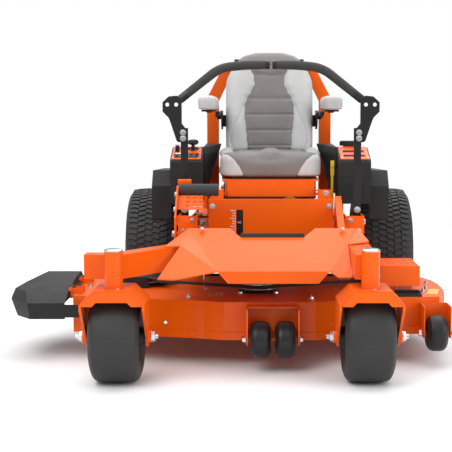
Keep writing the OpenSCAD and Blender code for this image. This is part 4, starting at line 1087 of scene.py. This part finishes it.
class MOWER_OT_armrests(bpy.types.Operator):
    """Padded armrests on flat black brackets"""

    bl_idname = "mower.armrests"
    bl_label = "Armrests"

    def execute(self, context):
        for side, name in ((1, "left"), (-1, "right")):
            low, high = part_box("armrest_" + name)
            inner, outer = (210, 290)
            bottom, top = 903.4, high.z - 2
            front, back = low.y + 3, -182
            rings = []
            for k in range(15):
                z = bottom + (top - bottom) * k / 14
                half, y0, y1 = (outer - inner) / 2 - 3, front, back
                for reach, edge in ((16, top - z), (9, z - bottom)):
                    if edge < reach:
                        lean = 1 - math.sqrt(max(0.0, 1 - (1 - edge / reach) ** 2))
                        half -= reach * 0.7 * lean
                        y0 += reach * 0.7 * lean
                        y1 -= reach * 0.7 * lean
                rings.append(round_ring(half, y0, y1, 20, z, side * (inner + outer) / 2))
            obj = pad_mesh("armrest_pad_" + name, rings, 0.005)

            def held(point):
                return 1 - smooth_step(908, 922, point.z)

            swell(obj, held, 0.005)
            press_seams(obj, lambda point, normal: 1.8 * (1 - smooth_step(0, 5, abs(point.z - 914))))
            finish_pad(
                obj, "arm_" + name, ("light_vinyl",), lambda point: 0,
                ["armrest_" + name]
            )
            bracket = Part()
            bracket.prism("z", rounded([(218, -420), (276, -420), (276, -200), (218, -200)], 8), 895, 902.8)
            bracket.box((205, -340, 880), (222, -166, 895.2))
            bracket.rod("x", 18, 205, 222, -165, 880, 2)
            bracket.rod("x", 8, 196, 212, -165, 880)
            bracket.bolt("x", 10, 221.5, 229, -165, 880)
            for y in (-400, -300, -225):
                bracket.bolt("z", 6, 895, 890, 250, y, washer=9)
            if side < 0:
                bracket = bracket.mirrored()
            bracket.build("armrest_bracket_" + name, "black_steel", "arm_" + name, "black_steel", bevel=0.8)
        return {"FINISHED"}


# ---------------------------------------------------------------- levers, pedal and controls
class MOWER_OT_lever_grips(bpy.types.Operator):
    """Foam sleeves on the hand bars, and the bolts of the levers"""

    bl_idname = "mower.lever_grips"
    bl_label = "Lever grips"

    def execute(self, context):
        radius = 16.5 + mm(look().foam_wall)
        path = soft_path([(350, -612, 939.8), (196, -612, 1061), (100, -612, 1072), (5.6, -612, 1073)], 40)
        for side, name in ((1, "left"), (-1, "right")):
            sleeve = Part()
            radii = [radius] * len(path)
            radii[0] = radii[-1] = radius - 1.5
            sleeve.tube(path, radii, 28)
            bolts = Part()
            for z in (794, 816):
                bolts.bolt("y", 9, -637.8, -644, 336, z, washer=12)
            bolts.bolt("y", 10, -632.4, -642, 332, 520, washer=13)
            pivots = Part()
            pivots.bolt("x", 14, 356.2, 366, -612, 470, washer=17)
            if side < 0:
                sleeve, bolts, pivots = sleeve.mirrored(), bolts.mirrored(), pivots.mirrored()
            sleeve.build("grip_foam_" + name, "foam_rubber", "bar_" + name, "rubber")
            bolts.build("lever_bolts_" + name, "zinc", "bar_" + name, "zinc")
            pivots.build("lever_pivot_nut_" + name, "zinc", "lever_" + name, "zinc")
        return {"FINISHED"}


class MOWER_OT_pedal_trim(bpy.types.Operator):
    """Foam roller, bolts and handle of the deck lift pedal"""

    bl_idname = "mower.pedal_trim"
    bl_label = "Lift pedal trim"

    def execute(self, context):
        roller = Part()
        steps = [(-344, 19.2), (-344, 21), (-341, 23)]
        for k in range(14):
            x = -338 + k * 10
            steps += [(x, 23.4), (x + 4, 23.4), (x + 5, 22.6), (x + 9, 22.6)]
        steps += [(-199, 23), (-196.5, 21), (-196.5, 19.2)]
        roller.lathe("x", (0, -760, 605), steps, 40)
        roller.build("pedal_roller_foam", "foam_rubber", "pedal", "rubber")
        bolts = Part()
        bolts.bolt("x", 12, -352.2, -361, -900, 455, washer=15)
        bolts.bolt("x", 9, -352.2, -359, -790, 590, washer=12)
        bolts.bolt("x", 9, -352.2, -359, -850, 540, washer=12)
        bolts.build("pedal_bolts", "zinc", "pedal", "zinc")
        grip = Part()
        grip.prism("x", rounded([(-736, 623), (-714, 623), (-714, 643), (-736, 643)], 6), -350, -300)
        grip.build("pedal_handle", "orange_paint", "pedal", "orange_paint", bevel=1.0)
        return {"FINISHED"}


def on_panel(side, u, v, rise):
    """A point on a console's sloped panel: u across, v up the slope from its front edge."""
    lean = math.atan2(754.4 - 710.8, 143)
    x = side * (333 + u)
    return (
        x, -514 + v * math.cos(lean) - rise * math.sin(lean),
        710.8 + v * math.sin(lean) + rise * math.cos(lean)
    )


def panel_plate(part, side, u0, u1, v0, v1, low, high, corner=3):
    """A flat plate with rounded corners on the sloped panel."""
    outline = rounded([(u0, v0), (u1, v0), (u1, v1), (u0, v1)], corner, 3)
    n = len(outline)
    verts = [on_panel(side, u, v, rise) for rise in (low, high) for u, v in outline]
    part.add(
        verts,
        [list(range(n)), list(range(n, 2 * n))] + [(i, (i + 1) % n, n + (i + 1) % n, n + i) for i in range(n)]
    )


def panel_knob(part, side, u, v, radius, rise, sides=20):
    """A round button or knob that stands on the sloped panel."""
    verts, faces = [], []
    for r, h in ((radius, 0.2), (radius, rise * 0.8), (radius * 0.85, rise)):
        for k in range(sides):
            turn = 2 * math.pi * k / sides
            verts.append(on_panel(side, u + r * math.cos(turn), v + r * math.sin(turn), h))
    for a in (0, sides):
        faces += [
            (a + k, a + (k + 1) % sides, a + sides + (k + 1) % sides, a + sides + k) for k in range(sides)
        ]
    part.add(verts, faces + [list(range(sides)), list(range(2 * sides, 3 * sides))])


class MOWER_OT_console_trim(bpy.types.Operator):
    """Switches, key, throttle, seams and screws of the consoles"""

    bl_idname = "mower.console_trim"
    bl_label = "Console trim"

    def execute(self, context):
        dark = Part()
        panel_plate(dark, -1, -50, -6, 14, 58, 0.2, 2.4)
        panel_plate(dark, -1, 4, 50, 14, 40, 0.2, 2.4)
        panel_plate(dark, -1, 4, 50, 48, 66, 0.2, 2.0)
        panel_plate(dark, -1, 30, 50, 76, 136, 0.2, 2.0)
        for u, v, r, h in (
            (-40, 46, 6, 5), (-18, 46, 6, 5), (-40, 26, 5, 4), (-18, 26, 5, 4), (14, 27, 8, 9), (38, 27, 7, 6)
        ):
            panel_knob(dark, -1, u, v, r, h)
        panel_plate(dark, -1, 38, 42, 84, 128, 2, 5, 1)
        panel_plate(dark, -1, 32, 48, 96, 112, 5, 20, 4)
        panel_plate(dark, 1, -44, 44, 22, 48, -3.6, -2.0)
        panel_plate(dark, 1, -44, 44, 74, 100, -3.6, -2.0)
        for v in (24, 31, 38, 45, 76, 83, 90, 97):
            panel_plate(dark, 1, -42, 42, v, v + 2.4, -2.2, 0.6, 1)
        dark.build("console_switches", "black_plastic", "frame", "black_plastic")
        key = Part()
        panel_plate(key, -1, 12.5, 15.5, 20, 34, 9, 22, 1)
        panel_knob(key, -1, 14, 27, 4.5, 9.6)
        for side in (1, -1):
            for u, v in ((-52, 6), (52, 6), (-52, 138), (52, 138)):
                panel_knob(key, side, u, v, 4.2, 2.2, 14)
        key.build("console_key", "zinc", "frame", "zinc")
        meter = Part()
        panel_plate(meter, -1, 8, 46, 51, 63, 1.8, 2.6, 1.5)
        meter.build("hour_meter_window", "label_pale", "frame", "black_plastic")
        lights = Part()
        panel_knob(lights, -1, -29, 36, 4, 4.6)
        lights.build("console_warning_light", "red_plastic", "frame", "black_plastic")
        seam = Part()
        for side in (1, -1):
            shell = Part()
            shell.box((268.8, -521.2, 637.4), (397.2, -516, 640.6))
            shell.box((395.6, -520, 662), (397.2, 112, 665))
            shell.box((268.8, -516, 662), (270.4, -400, 665))
            for y in (-440, -250, -60, 90):
                shell.bolt("x", 6, 396.4, 400.5, y, 700)
            for k in range(7):
                shell.box((290 + k * 13, -521.4, 556), (296 + k * 13, -517, 620))
            seam.add((shell if side > 0 else shell.mirrored()).verts, shell.faces)
        seam.build("console_seams", "black_plastic", "frame", "black_plastic", bevel=0.6)
        return {"FINISHED"}


# ---------------------------------------------------------------- body trim
class MOWER_OT_seat_box_trim(bpy.types.Operator):
    """Height scale, slot lining, hinge caps, springs and bolts of the box under the seat"""

    bl_idname = "mower.seat_box_trim"
    bl_label = "Seat box trim"

    def execute(self, context):
        lining = Part().box((-136, -636.6, 417), (-104, -634, 523))
        lining.build("height_slot_lining", "black_steel", "frame", "black_steel")
        scale = Part()
        for k in range(10):
            wide = 16 if k % 3 == 0 else 9
            z = 424 + k * 10.2
            scale.box((-139 - wide, -641.1, z), (-139, -639.6, z + 3))
        scale.box((-137.4, -641.0, 420), (-136.2, -639.6, 520))
        scale.build("height_scale", "label_pale", "frame", "zinc")
        pointer = Part().prism("y", [(-132, 470), (-114, 466), (-114, 478), (-132, 474)], -644, -637.2)
        pointer.build("height_pointer", "zinc", "frame", "zinc")
        zincs = Part()
        for side in (1, -1):
            one = Part()
            one.bolt("x", 11, 187.2, 196, -590, 578, washer=13)
            one.bolt("y", 8, -614.2, -621, 212, 583, washer=11)
            one.bolt("y", 8, -640.2, -646, 224, 440, washer=11)
            one.bolt("y", 8, -640.2, -646, 224, 534, washer=11)
            one.bolt("y", 7, -700.2, -706, 300, 486, washer=10)
            one.bolt("y", 7, -700.2, -706, 334, 446, washer=10)
            zincs.add((one if side > 0 else one.mirrored()).verts, one.faces)
        zincs.build("seat_box_bolts", "zinc", "frame", "zinc")
        coil = Part()
        for x in (-120, 120):
            turns, steps = 6, 96
            coil.tube(
                [
                    (
                        x + 14 * math.cos(2 * math.pi * turns * k / steps),
                        -175 + 14 * math.sin(2 * math.pi * turns * k / steps), 563 + 60 * k / steps
                    ) for k in range(steps + 1)
                ],
                2.2, 8
            )
        coil.build("seat_springs", "black_steel", "frame", "black_steel")
        return {"FINISHED"}


class MOWER_OT_foot_trim(bpy.types.Operator):
    """Ribs of the foot mat and the pads, and the tread of the side step"""

    bl_idname = "mower.foot_trim"
    bl_label = "Foot well and step trim"

    def execute(self, context):
        ribs = Part()
        for k in range(17):
            y = -890 + k * 14.5
            ribs.prism("x", [(y - 3.4, 415.6), (y + 3.4, 415.6), (y + 2, 419.4), (y - 2, 419.4)], -182, 182)
        ribs.build("floor_mat_ribs", "rubber", "frame", "rubber")
        step = Part()
        for row in range(9):
            for column in range(6):
                x, y = 408 + column * 23 + (row % 2) * 8, -860 + row * 25
                lean = 1 if (row + column) % 2 else -1
                a, b = Vector((x - 7, y - lean * 7)), Vector((x + 7, y + lean * 7))
                along = (b - a).normalized()
                across = Vector((-along.y, along.x)) * 2.2
                top = Vector((-along.y, along.x)) * 0.9
                verts = [
                    (*(a + across), 332.8), (*(b + across), 332.8), (*(b - across), 332.8),
                    (*(a - across), 332.8)
                ]
                a, b = a + along * 2, b - along * 2
                verts += [(*(a + top), 335), (*(b + top), 335), (*(b - top), 335), (*(a - top), 335)]
                step.add(
                    verts,
                    [(3, 2, 1, 0), (4, 5, 6, 7)] + [
                        (k, (k + 1) % 4, 4 + (k + 1) % 4, 4 + k) for k in range(4)
                    ]
                )
        step.build("step_tread", "orange_paint", "deck", "orange_paint")
        pad = Part()
        for k in range(6):
            pad.box((452, -897 + k * 3, 248.0), (534, -895.6 + k * 3, 249.2))
        pad.box((448, -938, 232.4), (538, -902, 236))
        pad.build("deck_grip_pad", "rubber", "deck", "rubber")
        strip = Part()
        strip.prism("x", rounded([(-993, 452), (-986, 455), (-986, 470), (-993, 468)], 2.5), -112, 112)
        strip.build("notch_strip", "rubber", "frame", "rubber")
        return {"FINISHED"}


class MOWER_OT_deck_trim(bpy.types.Operator):
    """Bolts, labels, spindle caps and hanger hardware of the deck"""

    bl_idname = "mower.deck_trim"
    bl_label = "Deck trim"

    def execute(self, context):
        zincs = Part()
        for x, y in ((382, -635), (-50, -805)):
            for k in range(4):
                turn = math.radians(45 + 90 * k)
                zincs.bolt("z", 8, 233, 241, x + 92 * math.cos(turn), y + 92 * math.sin(turn), washer=11)
        for x, y in (
            (560, -820), (580, -760), (600, -640), (340, -900), (140, -980), (-300, -950), (-480, -930),
            (-640, -860), (-690, -700)
        ):
            zincs.bolt("z", 7, 232, 240, x, y, washer=11)
            zincs.rod("z", 4, 239.5, 246, x, y)
        for x in (-86, 86):
            zincs.bolt("x", 11, x + (8 if x > 0 else -8), x + (20 if x > 0 else -20), -1120, 115, washer=14)
        zincs.bolt("x", 11, 640.4, 650, -1012, 115, washer=14)
        zincs.bolt("x", 11, 528, 518, -1012, 115, washer=14)
        for x in (-380, -200, 200, 420):
            zincs.bolt("y", 8, -986 - (40 if abs(x) < 250 else 0), -994 - (40 if abs(x) < 250 else 0), x, 150)
        zincs.build("deck_bolts", "zinc", "deck", "zinc")
        plates = Part()
        plates.prism("z", rounded([(566, -872), (604, -880), (630, -770), (592, -764)], 4, 2), 232.1, 233.0)
        plates.prism(
            "z", rounded([(-230, -905), (-178, -905), (-178, -850), (-230, -850)], 4, 2), 232.1, 233.0
        )
        plates.build("deck_label_plates", "label_yellow", "deck", "yellow_plastic")
        marks = Part()
        for k in range(4):
            marks.prism(
                "z",
                [(-224, -898 + k * 12), (-206, -898 + k * 12), (-206, -892 + k * 12), (-224, -892 + k * 12)],
                233.0, 233.4
            )
        marks.prism("z", [(-200, -896), (-184, -896), (-192, -862)], 233.0, 233.4)
        marks.build("deck_label_marks", "label_dark", "deck", "black_plastic")
        caps = Part()
        for x, y in ((382, -635), (-50, -805)):
            caps.lathe(
                "z", (x, y, 0),
                [(278.2, 0), (278.2, 22), (281, 22), (283, 19), (283, 12), (290, 11), (291, 9), (291, 0)], 36
            )
        caps.build("spindle_nuts", "bare_steel", "deck", "bare_steel")
        return {"FINISHED"}


class MOWER_OT_engine_trim(bpy.types.Operator):
    """Air cleaner, screen, leads, oil filter and guards of the engine"""

    bl_idname = "mower.engine_trim"
    bl_label = "Engine trim"

    def execute(self, context):
        screen = Part()
        for k in range(5):
            r = 34 + k * 13
            screen.tube(
                [
                    (
                        r * math.cos(a), 226 + r * math.sin(a), 758.6
                    ) for a in [2 * math.pi * j / 40 for j in range(40)]
                ],
                1.4, 8, closed=True
            )
        for k in range(12):
            turn = math.radians(30 * k + 15)
            screen.tube(
                [
                    (26 * math.cos(turn), 226 + 26 * math.sin(turn), 759.4),
                    (90 * math.cos(turn), 226 + 90 * math.sin(turn), 759.4)
                ],
                1.6, 8
            )
        screen.build("fan_screen", "black_steel", "fan", "black_steel")
        cleaner = Part()
        cleaner.lathe(
            "x", (0, 342, 700),
            [(-96, 0), (-96, 40), (-90, 46), (70, 46), (76, 42), (80, 42), (96, 38), (100, 30), (100, 0)], 48
        )
        for x in (-60, -30, 0, 30):
            cleaner.tube(
                [
                    (
                        x, 342 + 46.6 * math.cos(a), 700 + 46.6 * math.sin(a)
                    ) for a in [2 * math.pi * j / 36 for j in range(36)]
                ],
                1.6, 8, closed=True
            )
        cleaner.build("air_cleaner", "black_plastic", "frame", "black_plastic")
        leads = Part()
        for side in (1, -1):
            leads.tube(
                soft_path(
                    [
                        (side * 190, 148, 560), (side * 212, 140, 600), (side * 176, 130, 668),
                        (side * 120, 128, 690)
                    ],
                    30
                ),
                4, 12
            )
            leads.lathe("x", (side * 196, 148, 556), [(-10, 0), (-10, 9), (6, 9), (10, 6), (10, 0)], 20)
        leads.build("spark_leads", "rubber", "frame", "rubber")
        filter_can = Part().lathe(
            "y", (96, 0, 478), [(90.5, 0), (90.5, 30), (84, 38), (30, 38), (24, 36), (20, 28), (20, 0)], 40
        )
        filter_can.build("oil_filter", "label_yellow", "frame", "yellow_plastic")
        cover = Part()
        for side in (1, -1):
            one = Part().prism(
                "x", rounded([(106, 500), (194, 500), (194, 562), (106, 562)], 12, 3), 200.2, 210
            )
            for y, z in ((116, 510), (184, 510), (116, 552), (184, 552)):
                one.bolt("x", 6, 210, 216, y, z)
            cover.add((one if side > 0 else one.mirrored()).verts, one.faces)
        cover.build("rocker_covers", "engine_cast", "frame", "engine_cast", bevel=1.2)
        shield = Part()
        for k in range(9):
            shield.tube(
                [
                    (
                        -136 + k * 34, 418 + 54 * math.cos(a), 528 + 54 * math.sin(a)
                    ) for a in [2 * math.pi * j / 36 for j in range(36)]
                ],
                2.2, 8, closed=True
            )
        shield.build("muffler_bands", "hot_steel", "frame", "bare_steel")
        return {"FINISHED"}


class MOWER_OT_frame_trim(bpy.types.Operator):
    """Bolts and wires of the frame"""

    bl_idname = "mower.frame_trim"
    bl_label = "Frame trim"

    def execute(self, context):
        zincs = Part()
        for side in (1, -1):
            one = Part()
            for y, z in ((-150, 392), (40, 392), (360, 392), (-520, 392)):
                one.bolt("x", 9, 340.2, 348, y, z, washer=13)
            one.bolt("z", 8, 440.2, 448, 322, -30, washer=12)
            one.bolt("z", 8, 440.2, 448, 322, 30, washer=12)
            one.bolt("z", 7, 480, 486, 250, -955, washer=10)
            zincs.add((one if side > 0 else one.mirrored()).verts, one.faces)
        zincs.build("rail_bolts", "zinc", "frame", "zinc")
        wires = Part()
        wires.tube(
            soft_path(
                [(258, -430, 676), (268, -424, 660), (262, -436, 560), (276, -440, 470), (300, -430, 446)], 24
            ),
            2.4, 10
        )
        wires.tube(
            soft_path([(243, -430, 640), (232, -436, 600), (246, -440, 520), (262, -436, 450)], 24), 2.0, 10
        )
        wires.build("tank_wires", "rubber", "frame", "rubber")
        return {"FINISHED"}


# ---------------------------------------------------------------- stage
class MOWER_OT_stage(bpy.types.Operator):
    """Pale seamless floor, soft studio lights and the camera"""

    bl_idname = "mower.stage"
    bl_label = "Stage"

    def execute(self, context):
        scene = context.scene
        mesh = bpy.data.meshes.new("studio_floor")
        work = bmesh.new()
        bmesh.ops.create_circle(work, cap_ends=True, radius=4.4, segments=96)
        work.to_mesh(mesh)
        work.free()
        floor = bpy.data.objects.new("studio_floor", mesh)
        scene.collection.objects.link(floor)
        finish_material(
            "studio_paper", (0.86, 0.86, 0.865), (0.84, 0.84, 0.845), 0.9, rough_drift=0.02, specular=0.1
        )
        mesh.materials.append(bpy.data.materials["studio_paper"])

        world = bpy.data.worlds.new("studio")
        world.use_nodes = True
        sky = next(n for n in world.node_tree.nodes if n.type == "BACKGROUND")
        sky.inputs["Color"].default_value = (1.0, 1.0, 1.0, 1)
        rays = put(world.node_tree, "ShaderNodeLightPath")
        bright = put(world.node_tree, "ShaderNodeMapRange", {"To Min": 0.5, "To Max": 1.0})
        wire(
            world.node_tree,
            (
                rays.outputs["Is Camera Ray"], bright.inputs["Value"]
            ), (bright.outputs["Result"], sky.inputs["Strength"]),
        )
        scene.world = world
        scene.view_settings.view_transform = "Standard"

        for label, place, aim, size, power in (
            ("key_softbox", (-1900, -3600, 3300), (0, -400, 400), 2.6, 105),
            ("fill_softbox", (2900, -3000, 1700), (0, -300, 400), 2.4, 62),
            ("top_softbox", (0, 1300, 4400), (0, 1300, 0), 7.0, 290),
            ("rear_softbox", (600, 2600, 2600), (0, 0, 600), 2.6, 20),
        ):
            lamp = bpy.data.lights.new(label, "AREA")
            lamp.shape = "SQUARE"
            lamp.size = size
            lamp.energy = power
            obj = bpy.data.objects.new(label, lamp)
            obj.location = at(*place)
            obj.rotation_euler = (at(*aim) - at(*place)).to_track_quat("-Z", "Y").to_euler()
            scene.collection.objects.link(obj)

        lens = bpy.data.cameras.new("front_camera")
        lens.lens = 87.61
        lens.sensor_width = 36
        lens.shift_x = -0.062
        lens.clip_end = 60
        camera = bpy.data.objects.new("front_camera", lens)
        camera.location = at(-65, -4850, 900)
        camera.rotation_euler = (math.radians(84), 0, 0)
        scene.collection.objects.link(camera)
        scene.camera = camera
        return {"FINISHED"}


# ---------------------------------------------------------------- panel and run
STEPS = (
    MOWER_OT_finishes,
    MOWER_OT_rear_tyres,
    MOWER_OT_front_tyres,
    MOWER_OT_wheel_trim,
    MOWER_OT_seat,
    MOWER_OT_armrests,
    MOWER_OT_lever_grips,
    MOWER_OT_pedal_trim,
    MOWER_OT_console_trim,
    MOWER_OT_seat_box_trim,
    MOWER_OT_foot_trim,
    MOWER_OT_deck_trim,
    MOWER_OT_engine_trim,
    MOWER_OT_frame_trim,
    MOWER_OT_stage,
)


class MOWER_PT_looks(bpy.types.Panel):
    """Lists the steps that dress the mower"""

    bl_label = "Mower looks"
    bl_idname = "MOWER_PT_looks"
    bl_space_type = "VIEW_3D"
    bl_region_type = "UI"
    bl_category = "Mower"

    def draw(self, context):
        for value in (
            "orange", "plastic", "black", "seat_light", "seat_dark", "lug_height", "lug_pitch", "pad_swell",
            "foam_wall"
        ):
            self.layout.prop(context.scene.mower_look, value)
        for step in STEPS:
            self.layout.operator(step.bl_idname)


def register():
    for kind in (MowerLook, *STEPS, MOWER_PT_looks):
        bpy.utils.register_class(kind)
    bpy.types.Scene.mower_look = bpy.props.PointerProperty(type=MowerLook)


def unregister():
    del bpy.types.Scene.mower_look
    for kind in (MOWER_PT_looks, *reversed(STEPS), MowerLook):
        bpy.utils.unregister_class(kind)


def main():
    register()
    for step in STEPS:
        family, name = step.bl_idname.split(".")
        getattr(getattr(bpy.ops, family), name)()


if __name__ == "__main__":
    main()
